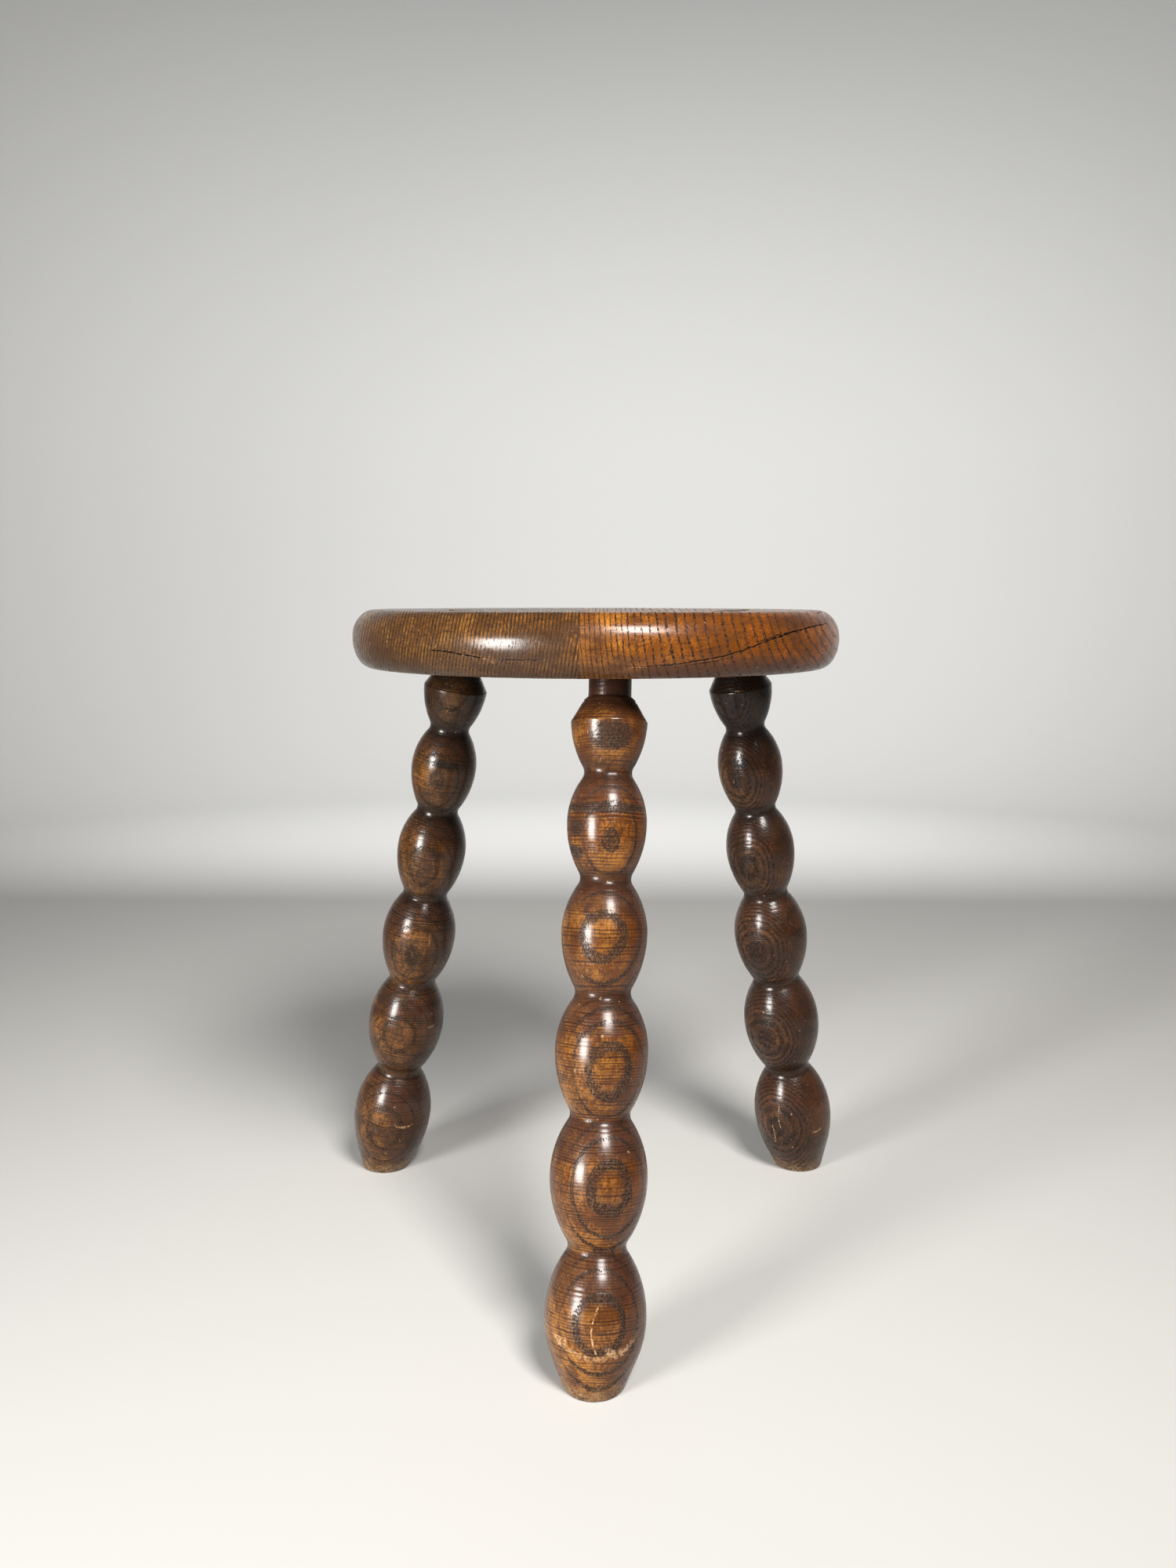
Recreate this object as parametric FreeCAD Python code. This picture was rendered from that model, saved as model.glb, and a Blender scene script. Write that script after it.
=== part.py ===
import FreeCAD, Part
import math
import os

# A staked stool: a thick round seat of two glued boards on three splayed, turned legs.
# Lengths are in millimetres and angles in degrees. The origin is on the floor under the
# middle of the seat, +Z is up, and the front leg stands towards -Y.

# Overall sizes
seat_diameter = 320.0
seat_height = 434.0
seat_thickness = 37.0
foot_circle_radius = 190.0
socket_circle_radius = 109.0
tenon_diameter = 25.4

# The seat's edge is one long round nose, fuller above its widest line than below it
nose_top_height = 17.8
nose_top_width = 14.6
nose_under_width = 11.6

# The seat's top is hollowed, with a level rim between the hollow and the nose
level_rim_width = 7.4
hollow_depth = 5.0
hollow_bowl_share = 0.8

# The glued joint between the two boards, where it crosses the X axis
board_joint_x = -9.0

# How much bare tenon shows between the seat and the top of each leg's cone
front_bare_neck = 13.0
left_bare_neck = 4.4
right_bare_neck = 3.6

# The turning: a collar and cone, a cup with a sharp rim, beads with coves between them
collar_height = 2.0
collar_radius = 15.0
cone_height = 12.9
cup_radius = 22.6
cup_rim_drop = 2.0
first_bead_radius = 23.4
first_neck_radius = 14.2
cove_radius = 6.5
foot_end_radius = 17.8
foot_edge_round = 1.6

# Places down the leg from the cup's rim, as shares of the leg's line from seat to floor
neck_place_shares = (0.073, 0.2245, 0.386, 0.557, 0.739)
foot_place_share = 0.836
bead_widest_share = 0.48
bead_radius_shares = (1.0, 1.07, 1.155, 1.205)
foot_radius_share = 1.25
neck_radius_shares = (1.0, 1.056, 1.148, 1.23, 1.19)

# How much steeper the foot's straight end is than the run from its widest place to the floor
foot_taper_share = 1.4

# The wedges in the tenons, and the films of glue around tenons and wedges
wedge_thickness = 3.2
wedge_tip_thickness = 0.8
wedge_length = 26.0
tenon_glue_gap = 0.1
wedge_glue_gap = 0.05

# How far a cutting shape runs past what it cuts, and how level an edge on the floor has to be
overrun = 10.0
level_tolerance = 0.1

# Where each leg stands and enters the seat: the angles turn from +X towards +Y
LEGS = (
    {"name": "front", "foot_angle": -90.0, "socket_angle": -85.4, "socket_share": 1.0,
     "bare_neck": front_bare_neck},
    {"name": "left", "foot_angle": 150.4, "socket_angle": 152.2, "socket_share": 1.0,
     "bare_neck": left_bare_neck},
    {"name": "right", "foot_angle": 31.5, "socket_angle": 28.6, "socket_share": 1.055,
     "bare_neck": right_bare_neck},
)

# Sizes that follow from the ones above
seat_radius = seat_diameter / 2
hollow_radius = seat_radius - nose_top_width - level_rim_width
seat_underside = seat_height - seat_thickness
tenon_radius = tenon_diameter / 2
leg_line = math.hypot(seat_underside, foot_circle_radius - socket_circle_radius)

AXIS_UP = FreeCAD.Vector(0, 0, 1)
ACROSS_GRAIN = FreeCAD.Vector(1, 0, 0)
ORIGIN = FreeCAD.Vector(0, 0, 0)


def profile_point(radius, height):
    """A point of a turned profile, drawn in the XZ plane."""
    return FreeCAD.Vector(radius, 0, height)


def line(start, end):
    return Part.LineSegment(start, end).toShape()


def quarter_nose(start, corner, end):
    """A quarter of an ellipse that leaves start towards corner and reaches end."""
    curve = Part.BezierCurve()
    curve.setPoles([start, corner, end])
    curve.setWeight(2, math.sqrt(0.5))
    return curve.toShape()


def arc_on(center, start, end):
    """The short arc about center from start to end, both on its circle."""
    radius = (start - center).Length
    middle = (start - center) + (end - center)
    middle.normalize()
    return Part.Arc(start, center + middle * radius, end).toShape()


def turned(edges):
    """The solid that a closed profile sweeps when it turns about the Z axis."""
    face = Part.Face(Part.Wire(edges))
    return face.revolve(ORIGIN, AXIS_UP, 360)


def hollow_edges():
    """The seat's top from the hollow's edge to its middle: a shoulder arc, then a bowl arc."""
    both_radii = (hollow_radius ** 2 + hollow_depth ** 2) / (2 * hollow_depth)
    bowl = both_radii * hollow_bowl_share
    shoulder = both_radii - bowl
    edge = profile_point(hollow_radius, seat_height)
    middle = profile_point(0, seat_height - hollow_depth)
    shoulder_center = profile_point(hollow_radius, seat_height - shoulder)
    bowl_center = profile_point(0, seat_height - hollow_depth + bowl)
    meeting = bowl_center + (shoulder_center - bowl_center) * hollow_bowl_share
    return [arc_on(shoulder_center, edge, meeting), arc_on(bowl_center, meeting, middle)]


def seat_blank():
    """The whole round seat, before it is split into boards and bored."""
    rim = profile_point(seat_radius - nose_top_width, seat_height)
    widest = profile_point(seat_radius, seat_height - nose_top_height)
    under = profile_point(seat_radius - nose_under_width, seat_underside)
    edges = [
        line(profile_point(0, seat_underside), under),
        quarter_nose(under, profile_point(seat_radius, seat_underside), widest),
        quarter_nose(widest, profile_point(seat_radius, seat_height), rim),
        line(rim, profile_point(hollow_radius, seat_height)),
    ]
    edges += hollow_edges()
    edges.append(line(profile_point(0, seat_height - hollow_depth), profile_point(0, seat_underside)))
    return turned(edges)


def above_seat():
    """Everything over the seat's top, which trims the tenons and wedges flush."""
    top = seat_height + overrun + tenon_diameter
    edges = hollow_edges()
    edges += [
        line(profile_point(0, seat_height - hollow_depth), profile_point(0, top)),
        line(profile_point(0, top), profile_point(seat_radius, top)),
        line(profile_point(seat_radius, top), profile_point(seat_radius, seat_height)),
        line(profile_point(seat_radius, seat_height), profile_point(hollow_radius, seat_height)),
    ]
    return turned(edges)


def below_floor():
    """Everything under the floor, which cuts the feet level."""
    reach = foot_circle_radius + seat_radius
    corner = FreeCAD.Vector(-reach, -reach, -seat_height)
    return Part.makeBox(2 * reach, 2 * reach, seat_height, corner)


def polar(radius, angle, height):
    turn = math.radians(angle)
    return FreeCAD.Vector(radius * math.cos(turn), radius * math.sin(turn), height)


def leg_place(leg):
    """The leg's own frame: its origin at the cup's rim, its Z up the leg, its X across the grain."""
    foot = polar(foot_circle_radius, leg["foot_angle"], 0)
    socket = polar(socket_circle_radius * leg["socket_share"], leg["socket_angle"], seat_underside)
    up = (socket - foot).normalize()
    across = (ACROSS_GRAIN - up * ACROSS_GRAIN.dot(up)).normalize()
    along = up.cross(across)
    head = leg["bare_neck"] + collar_height + cone_height
    rim = socket - up * head
    matrix = FreeCAD.Matrix(
        across.x, along.x, up.x, rim.x,
        across.y, along.y, up.y, rim.y,
        across.z, along.z, up.z, rim.z,
        0, 0, 0, 1)
    to_seat_top = head + seat_thickness / up.z
    to_floor = (rim - foot).Length
    return {"placement": FreeCAD.Placement(matrix), "to_seat_top": to_seat_top, "to_floor": to_floor}


def side_and_cove(bead, neck, cove):
    """The arc centers of a bead's side and of the cove that it runs into.

    The side starts level where the bead is widest and touches the cove, whose bottom is the
    neck. Bead and neck are each a place down the leg and a radius there.
    """
    run = neck[0] - bead[0]
    fall = bead[1] - neck[1]
    side = (run ** 2 + (fall - cove) ** 2 - cove ** 2) / (2 * fall)
    side_center = profile_point(bead[1] - side, -bead[0])
    cove_center = profile_point(neck[1] + cove, -neck[0])
    touch = cove_center + (side_center - cove_center).normalize() * cove
    return side_center, cove_center, touch


def bead_centers():
    """Where each bead is widest, down from the cup's rim, and its radius there."""
    centers = [(-cup_rim_drop, cup_radius)]
    for index, share in enumerate(bead_radius_shares):
        above = neck_place_shares[index] * leg_line
        below = neck_place_shares[index + 1] * leg_line
        centers.append((above + (below - above) * bead_widest_share, first_bead_radius * share))
    centers.append((foot_place_share * leg_line, first_bead_radius * foot_radius_share))
    return centers


def side_and_taper(bead, to_floor):
    """The arc center of the foot bead's side, where the side runs into the foot's taper, and
    how much radius the taper loses per length.

    The side starts level where the bead is widest and touches the taper, a straight line that
    meets the floor at the foot's end.
    """
    run = to_floor - bead[0]
    fall = bead[1] - foot_end_radius
    narrowing = foot_taper_share * fall / run
    turn = math.atan(narrowing)
    side = (run * narrowing - fall) / (1 / math.cos(turn) - 1)
    side_center = profile_point(bead[1] - side, -bead[0])
    touch = side_center + profile_point(math.cos(turn), -math.sin(turn)) * side
    return side_center, touch, narrowing


def beads_and_coves(to_floor):
    """The profile's edges from the cup's rim to past the floor, and the two end points."""
    beads = bead_centers()
    necks = []
    for place, share in zip(neck_place_shares, neck_radius_shares):
        necks.append((place * leg_line, first_neck_radius * share))

    cup_center = side_and_cove(beads[0], necks[0], cove_radius)[0]
    cup_arc = cup_radius - cup_center.x
    rim = profile_point(cup_center.x + math.sqrt(cup_arc ** 2 - cup_rim_drop ** 2), 0)

    edges = []
    start = rim
    for above, below, neck in zip(beads, beads[1:], necks):
        upper_center, cove_center, cove_top = side_and_cove(above, neck, cove_radius)
        lower_center, cove_center, cove_foot = side_and_cove(below, neck, cove_radius)
        widest = profile_point(below[1], -below[0])
        edges.append(arc_on(upper_center, start, cove_top))
        edges.append(arc_on(cove_center, cove_top, cove_foot))
        edges.append(arc_on(lower_center, cove_foot, widest))
        start = widest

    foot_center, touch, narrowing = side_and_taper(beads[-1], to_floor)
    past_floor = foot_end_radius
    end = profile_point(foot_end_radius - past_floor * narrowing, -to_floor - past_floor)
    edges.append(arc_on(foot_center, start, touch))
    edges.append(line(touch, end))
    return edges, rim, end


def wedge_shape(to_seat_top, gap):
    """A wedge in the leg's frame, wide across the grain, that thins as it goes down."""
    tip = to_seat_top - wedge_length - gap
    top = to_seat_top + overrun
    widening = (wedge_thickness - wedge_tip_thickness) / wedge_length
    half_tip = wedge_tip_thickness / 2 + gap
    half_top = half_tip + widening * (top - tip) / 2
    reach = tenon_diameter
    corners = [
        FreeCAD.Vector(-reach, -half_tip, tip),
        FreeCAD.Vector(-reach, half_tip, tip),
        FreeCAD.Vector(-reach, half_top, top),
        FreeCAD.Vector(-reach, -half_top, top),
    ]
    side = Part.Face(Part.makePolygon(corners + corners[:1]))
    return side.extrude(FreeCAD.Vector(2 * reach, 0, 0))


def turned_leg(to_seat_top, to_floor):
    """The leg in its own frame, too long at both ends."""
    profile, rim, end = beads_and_coves(to_floor)
    top = to_seat_top + overrun
    collar_top = cone_height + collar_height
    edges = [
        line(profile_point(0, top), profile_point(tenon_radius, top)),
        line(profile_point(tenon_radius, top), profile_point(tenon_radius, collar_top)),
        line(profile_point(tenon_radius, collar_top), profile_point(collar_radius, cone_height)),
        line(profile_point(collar_radius, cone_height), rim),
    ]
    edges += profile
    edges.append(line(end, profile_point(0, end.z)))
    edges.append(line(profile_point(0, end.z), profile_point(0, top)))
    return turned(edges)


def worn_foot(leg):
    """The leg with the sharp edge of its foot taken off where it meets the floor."""
    rims = [edge for edge in leg.Edges if edge.BoundBox.ZMax < level_tolerance]
    return leg.makeFillet(foot_edge_round, rims)


def leg_and_wedge(leg, lid, floor):
    """The finished leg and its wedge, in place."""
    place = leg_place(leg)
    to_seat_top = place["to_seat_top"]
    wood = turned_leg(to_seat_top, place["to_floor"])
    wood = wood.cut(wedge_shape(to_seat_top, wedge_glue_gap))
    tenon = Part.makeCylinder(tenon_radius, to_seat_top + overrun)
    wedge = wedge_shape(to_seat_top, 0).common(tenon)
    wood.Placement = place["placement"]
    wedge.Placement = place["placement"]
    wood = wood.cut(lid)
    wood = wood.cut(floor)
    return worn_foot(wood), wedge.cut(lid)


def socket_bore(leg):
    """The slanting hole through the seat that a leg's tenon fills."""
    place = leg_place(leg)
    bore = Part.makeCylinder(tenon_radius + tenon_glue_gap, place["to_seat_top"] + overrun)
    bore.Placement = place["placement"]
    return bore


def boards():
    """The seat's two boards, bored for the legs."""
    seat = seat_blank()
    for leg in LEGS:
        seat = seat.cut(socket_bore(leg))
    reach = seat_radius + overrun
    low = seat_underside - overrun
    height = seat_thickness + 2 * overrun
    left_corner = FreeCAD.Vector(-reach, -reach, low)
    right_corner = FreeCAD.Vector(board_joint_x, -reach, low)
    left = seat.common(Part.makeBox(board_joint_x + reach, 2 * reach, height, left_corner))
    right = seat.common(Part.makeBox(reach - board_joint_x, 2 * reach, height, right_corner))
    return left, right


def build():
    """Every piece by its name."""
    left, right = boards()
    pieces = {"seat_board_left": left, "seat_board_right": right}
    lid = above_seat()
    floor = below_floor()
    for leg in LEGS:
        wood, wedge = leg_and_wedge(leg, lid, floor)
        pieces["leg_" + leg["name"]] = wood
        pieces["wedge_" + leg["name"]] = wedge
    return pieces


def one_solid(name, shape):
    """The piece's single solid."""
    if len(shape.Solids) != 1 or not shape.isValid():
        raise ValueError(name + " isn't one sound solid")
    return shape.Solids[0]


os.makedirs("parts", exist_ok=True)
for name, shape in build().items():
    solid = one_solid(name, shape)
    solid.exportStep(os.path.join("parts", name + ".step"))
    box = solid.optimalBoundingBox(False)
    print(name, "volume %.0f" % solid.Volume, "from (%.1f, %.1f, %.1f) to (%.1f, %.1f, %.1f)" % (
        box.XMin, box.YMin, box.ZMin, box.XMax, box.YMax, box.ZMax))
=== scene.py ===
"""A staked stool in dark-stained oak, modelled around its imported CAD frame.

Lengths are in metres, +Z is up, and the origin is on the floor under the middle of the seat.
Each leg is turned in its own frame, whose origin is at the cup's rim and whose Z runs up the
leg, and is then set in its place.
"""

import math
import random
from collections import namedtuple

import bmesh
import bpy
from bpy.props import FloatProperty, FloatVectorProperty, IntProperty, PointerProperty
from mathutils import Matrix, Vector, kdtree, noise


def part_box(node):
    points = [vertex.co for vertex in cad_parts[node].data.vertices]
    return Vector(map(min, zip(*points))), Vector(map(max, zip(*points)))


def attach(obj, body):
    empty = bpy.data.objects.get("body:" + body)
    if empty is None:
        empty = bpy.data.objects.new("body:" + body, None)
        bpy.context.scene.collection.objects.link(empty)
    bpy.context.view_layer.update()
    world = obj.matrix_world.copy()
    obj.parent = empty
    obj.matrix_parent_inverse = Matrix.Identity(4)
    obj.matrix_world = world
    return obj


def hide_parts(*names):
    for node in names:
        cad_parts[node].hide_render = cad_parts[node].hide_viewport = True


bl_info = {
    "name": "Staked Stool",
    "version": (1, 0, 0),
    "blender": (4, 5, 0),
    "location": "View3D > Sidebar > Stool",
    "description": "Models a turned three-legged stool in stained oak",
    "category": "Object",
}

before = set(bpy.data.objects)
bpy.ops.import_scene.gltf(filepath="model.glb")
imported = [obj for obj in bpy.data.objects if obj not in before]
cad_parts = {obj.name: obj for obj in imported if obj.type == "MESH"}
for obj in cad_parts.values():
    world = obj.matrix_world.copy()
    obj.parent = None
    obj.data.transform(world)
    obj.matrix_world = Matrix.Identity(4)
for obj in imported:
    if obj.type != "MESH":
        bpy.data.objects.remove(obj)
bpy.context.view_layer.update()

MM = 0.001
BODY = "root"
UP = Vector((0, 0, 1))
LEFT_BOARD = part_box("seat_board_left")
RIGHT_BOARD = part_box("seat_board_right")

# Shares of the leg's line from seat to floor, and of the first bead and neck
NECK_PLACE_SHARES = (0.073, 0.2245, 0.386, 0.557, 0.739)
FOOT_PLACE_SHARE = 0.836
BEAD_WIDEST_SHARE = 0.48
BEAD_RADIUS_SHARES = (1.0, 1.07, 1.155, 1.205)
FOOT_RADIUS_SHARE = 1.25
NECK_RADIUS_SHARES = (1.0, 1.056, 1.148, 1.23, 1.19)
HOLLOW_BOWL_SHARE = 0.8

# How closely the surfaces are divided
SEAT_SEGMENTS = 720
LEG_SEGMENTS = 96
WEDGE_SEGMENTS = 64
EDGE_STEP = 0.9 * MM
TOP_STEP = 3 * MM
UNDERSIDE_STEP = 6 * MM
TURNING_STEP = 0.55 * MM
TENON_STEP = 4 * MM
CRACK_STEP = 0.2 * MM
MERGE_DISTANCE = 0.001 * MM
SMOOTH_ANGLE = math.radians(38)
SHORT_ARC_STEPS = 2

# Cracks in the seat: how they wander, each as a pitch, a swing and a row of the noise, how their
# width changes, and how far from them the edge is divided finely, shaped and sooty
CRACK_WANDERS = ((4 * MM, 0.5 * MM, 0), (1.1 * MM, 0.16 * MM, 7))
CRACK_WIDTH_PITCH = 3 * MM
CRACK_WIDTH_ROW = 3
CRACK_WIDTH_SHARES = (0.7, 0.6)
CRACK_END_POWER = 0.4
CRACK_END_SHARES = (0.02, 1.04)
CRACK_FINE_REACH = 2 * MM
CRACK_SHAPE_REACH = 1.5 * MM
CRACK_SOOT_REACH = 0.35 * MM
CRACK_CUTS = 3

# Unevenness of worn surfaces, each wave as its width and depth
BOARD_WAVES = ((48 * MM, 0.22 * MM), (13 * MM, 0.07 * MM))
BOARD_TOP_WEAR_SHARE = 0.6
LEG_WAVES = ((22 * MM, 0.06 * MM),)
LATHE_WAVES = ((1.5 * MM, 0.028 * MM), (4.5 * MM, 0.04 * MM))
FOOT_WEAR_WAVES = ((1.5, 0.45), (7.5, 0.25))
FOOT_WEAR_RADIUS_SHARE = 0.8

# Dents and tool marks: how many, and the ranges of their widths and depths in mm
BOARD_DENTS = {"count": 90, "widths": (1.6, 4.2), "depths": (0.05, 0.22)}
LEG_DENTS = {"count": 60, "widths": (1.2, 3.4), "depths": (0.06, 0.28)}
TOOL_MARKS = {"count": 26, "widths": (0.3, 0.6), "depths": (0.05, 0.13)}
SCORED_LINE = {"drop": 1.4 * MM, "width": 0.45 * MM, "depth": 0.3 * MM}
RIM_ROUNDING = 0.45 * MM
RIM_ANGLE = math.radians(20)
RIM_SEGMENTS = 3

# The wedge: the glue on its faces, the divisions of its top, and how proud it stands
WEDGE_GLUE = 0.04 * MM
WEDGE_CUTS = 12
WEDGE_RISE_SHARE = 1.6
SLIDE_ROUNDS = 4

# Where each leg stands and enters the seat: the angles turn from +X towards +Y
LEGS = {
    "front": {"foot_angle": -90.0, "socket_angle": -85.4, "socket_share": 1.0,
              "bare_neck": 13.0 * MM, "seed": 11},
    "left": {"foot_angle": 150.4, "socket_angle": 152.2, "socket_share": 1.0,
             "bare_neck": 4.4 * MM, "seed": 23},
    "right": {"foot_angle": 31.5, "socket_angle": 28.6, "socket_share": 1.055,
              "bare_neck": 3.6 * MM, "seed": 37},
}

# The seat's boards: the side of the joint they end on, the legs they hold, and their cracks,
# whose places are the angle round from the front in degrees and the height in mm
BOARDS = {
    "left": {"joint_side": 1, "legs": ("left",), "seed": 3, "cracks": (
        {"places": ((-36.8, 412.1), (-33.6, 411.9), (-28.7, 410.4), (-25.1, 408.9),
                    (-21.6, 407.8)), "width": 0.8 * MM, "depth": 1.6 * MM},
        {"places": ((-21.0, 407.9), (-15.7, 407.7), (-9.2, 407.8)),
         "width": 0.4 * MM, "depth": 0.6 * MM})},
    "right": {"joint_side": -1, "legs": ("front", "right"), "seed": 5, "cracks": (
        {"places": ((6.3, 404.0), (11.1, 404.4), (16.0, 405.1), (20.9, 407.1), (26.1, 409.1),
                    (31.7, 412.7), (37.9, 417.7), (45.7, 422.2), (54.2, 424.9), (68.9, 427.1)),
         "width": 0.8 * MM, "depth": 1.7 * MM},
        {"places": ((19.0, 404.9), (24.0, 406.4), (29.5, 408.9)),
         "width": 0.5 * MM, "depth": 0.8 * MM},
        {"places": ((34.5, 416.6), (41.0, 420.6), (49.5, 423.8)),
         "width": 0.45 * MM, "depth": 0.7 * MM},
        {"places": ((63.5, 432.4), (68.0, 433.0), (73.5, 433.4)),
         "width": 0.7 * MM, "depth": 1.2 * MM})},
}


class StoolSizes(bpy.types.PropertyGroup):
    """The stool's main sizes, as in its CAD frame"""

    def length(name, description, default):
        return FloatProperty(
            name=name, description=description, default=default, unit="LENGTH", precision=4)

    seat_radius: length("Seat radius", "From the middle of the seat to its edge", RIGHT_BOARD[1].x)
    seat_top: length("Seat top", "Height of the seat's level rim", RIGHT_BOARD[1].z)
    seat_underside: length("Seat underside", "Height of the seat's underside", RIGHT_BOARD[0].z)
    joint_x: length("Board joint", "Where the boards meet along X", LEFT_BOARD[1].x)
    nose_top_height: length("Nose height", "Height of the edge above its widest line", 17.8 * MM)
    nose_top_width: length("Nose width above", "How far the edge curves in above", 14.6 * MM)
    nose_under_width: length("Nose width below", "How far the edge curves in below", 11.6 * MM)
    level_rim_width: length("Level rim", "Width between the hollow and the edge", 7.4 * MM)
    hollow_depth: length("Hollow depth", "Depth of the seat's hollow", 5 * MM)
    foot_circle_radius: length("Foot circle", "Radius on which the feet stand", 190 * MM)
    socket_circle_radius: length("Socket circle", "Radius where legs enter the seat", 109 * MM)
    tenon_radius: length("Tenon radius", "Radius of a leg's round tenon", 12.7 * MM)
    tenon_gap: length("Tenon gap", "Film of glue round a tenon", 0.1 * MM)
    collar_height: length("Collar height", "Height of the collar over the cone", 2 * MM)
    collar_radius: length("Collar radius", "Radius at the top of the cone", 15 * MM)
    cone_height: length("Cone height", "Height of the cone over the cup's rim", 12.9 * MM)
    cup_radius: length("Cup radius", "Radius of the cup's arc", 22.6 * MM)
    cup_rim_drop: length("Cup rim drop", "How far the rim is under the arc's level", 2 * MM)
    first_bead_radius: length("Bead radius", "Radius of the first bead", 23.4 * MM)
    first_neck_radius: length("Neck radius", "Radius of the first cove", 14.2 * MM)
    cove_radius: length("Cove radius", "Radius of a cove's own curve", 6.5 * MM)
    foot_end_radius: length("Foot end", "Radius of the foot's end", 17.8 * MM)
    foot_taper_share: FloatProperty(
        name="Foot taper", description="How much steeper the foot's straight end is than the "
        "run from its widest place to the floor", default=1.4, min=1.05, max=1.95)
    foot_edge_round: length("Foot edge", "Rounding where the foot meets the floor", 1.6 * MM)
    wedge_thickness: length("Wedge thickness", "Thickness of a wedge at the top", 3.2 * MM)
    wedge_tip_thickness: length("Wedge tip", "Thickness of a wedge at its tip", 0.8 * MM)
    wedge_length: length("Wedge length", "How deep a wedge goes", 26 * MM)
    tenon_rise: length("Tenon rise", "How proud a tenon stands of the worn seat", 0.2 * MM)
    del length


class StoolFinish(bpy.types.PropertyGroup):
    """The colours of the stain, the wear and the dirt, and the varnish's gloss"""

    def color(name, description, default):
        return FloatVectorProperty(
            name=name, description=description, default=default, subtype="COLOR",
            size=3, min=0, max=1)

    grime: color("Grime", "Dirt in cracks and corners", (0.010, 0.007, 0.006))
    smoke: color("Smoke", "The greyish purple bloom on the shoulders", (0.046, 0.020, 0.014))
    bare: color("Bare oak", "Oak with its stain worn off", (0.30, 0.18, 0.09))
    dust: color("Dust", "Raw wood in scratches and scuffs", (0.48, 0.30, 0.16))
    gloss_roughness: FloatProperty(
        name="Gloss roughness", description="Roughness of the sound varnish", default=0.29,
        min=0, max=1, subtype="FACTOR")


class StoolStage(bpy.types.PropertyGroup):
    """The floor, the backdrop and the lamps"""

    backdrop: FloatVectorProperty(
        name="Backdrop", description="Colour of the floor and the backdrop",
        default=(0.54, 0.54, 0.53), subtype="COLOR", size=3, min=0, max=1)
    radius: FloatProperty(
        name="Backdrop radius", description="How far off the backdrop stands", default=2.8,
        unit="LENGTH")
    window_power: FloatProperty(
        name="Window power", description="Power of the tall lamp at the left", default=10.5,
        unit="POWER")
    ceiling_power: FloatProperty(
        name="Ceiling power", description="Power of the wide lamp overhead", default=20.5,
        unit="POWER")
    sky_strength: FloatProperty(
        name="Sky strength", description="Strength of the light from all round", default=0.12,
        min=0)
    paper_power: FloatProperty(
        name="Backdrop power", description="Power of the lamp that shines on the backdrop",
        default=31.0, unit="POWER")
    smoothness: IntProperty(
        name="Backdrop divisions", description="Segments round the backdrop", default=96, min=12)


def in_profile(radius, height):
    """A point of a turned profile, drawn in the XZ plane."""
    return Vector((radius, 0, height))


def carry_line(shape, tip, end, step):
    """Draws a straight run from the vertex tip to end, and returns its last vertex."""
    run = end - tip.co
    steps = max(1, math.ceil(run.length / step))
    made = bmesh.ops.spin(
        shape, geom=[tip], cent=tip.co, axis=UP, dvec=run / steps, angle=0, steps=steps)
    return made["geom_last"][0]


def carry_arc(shape, tip, center, end, step):
    """Draws the short arc about center from the vertex tip to end, and returns its last vertex."""
    spoke = tip.co - center
    goal = end - center
    turn = spoke.angle(goal)
    steps = max(SHORT_ARC_STEPS, math.ceil(turn * spoke.length / step))
    made = bmesh.ops.spin(
        shape, geom=[tip], cent=center, axis=spoke.cross(goal), angle=turn, steps=steps)
    return made["geom_last"][0]


def put_in_order(shape):
    """Sorts edges and faces by their vertices, since spinning leaves them in a chance order.
    Later cuts number their new vertices in that order, and dents are drawn by number."""
    shape.verts.index_update()
    for parts in (shape.edges, shape.faces):
        ranked = sorted(parts, key=lambda part: sorted(corner.index for corner in part.verts))
        for index, part in enumerate(ranked):
            part.index = index
        parts.sort()


def turn_round(shape, segments):
    """Spins the profile about Z through an eighth of a turn, doubles that three times to
    close the turn, and merges the seams and the poles."""
    sector = math.tau / 8
    bmesh.ops.spin(
        shape, geom=shape.verts[:] + shape.edges[:], cent=(0, 0, 0), axis=UP,
        angle=sector, steps=segments // 8)
    for _ in range(3):
        parts = shape.verts[:] + shape.edges[:] + shape.faces[:]
        copy = bmesh.ops.duplicate(shape, geom=parts)["geom"]
        bmesh.ops.rotate(
            shape, verts=[part for part in copy if isinstance(part, bmesh.types.BMVert)],
            cent=(0, 0, 0), matrix=Matrix.Rotation(sector, 3, "Z"))
        sector *= 2
    bmesh.ops.remove_doubles(shape, verts=shape.verts[:], dist=MERGE_DISTANCE)
    put_in_order(shape)
    bmesh.ops.recalc_face_normals(shape, faces=shape.faces[:])


def cut_away(shape, point, normal):
    """Cuts off what lies on the far side of a plane and closes the cut with a face."""
    bmesh.ops.bisect_plane(
        shape, geom=shape.verts[:] + shape.edges[:] + shape.faces[:], dist=MERGE_DISTANCE,
        plane_co=point, plane_no=normal, clear_outer=True)
    rim = [edge for edge in shape.edges if edge.is_boundary]
    bmesh.ops.holes_fill(shape, edges=rim, sides=0)


def placed(name, data):
    """Adds an object to the scene."""
    thing = bpy.data.objects.new(name, data)
    bpy.context.scene.collection.objects.link(thing)
    return thing


def smooth_mesh(name, shape):
    """Makes a mesh with smooth faces from a shape, which is then freed."""
    mesh = bpy.data.meshes.new(name)
    shape.to_mesh(mesh)
    shape.free()
    for polygon in mesh.polygons:
        polygon.use_smooth = True
    return mesh


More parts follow.
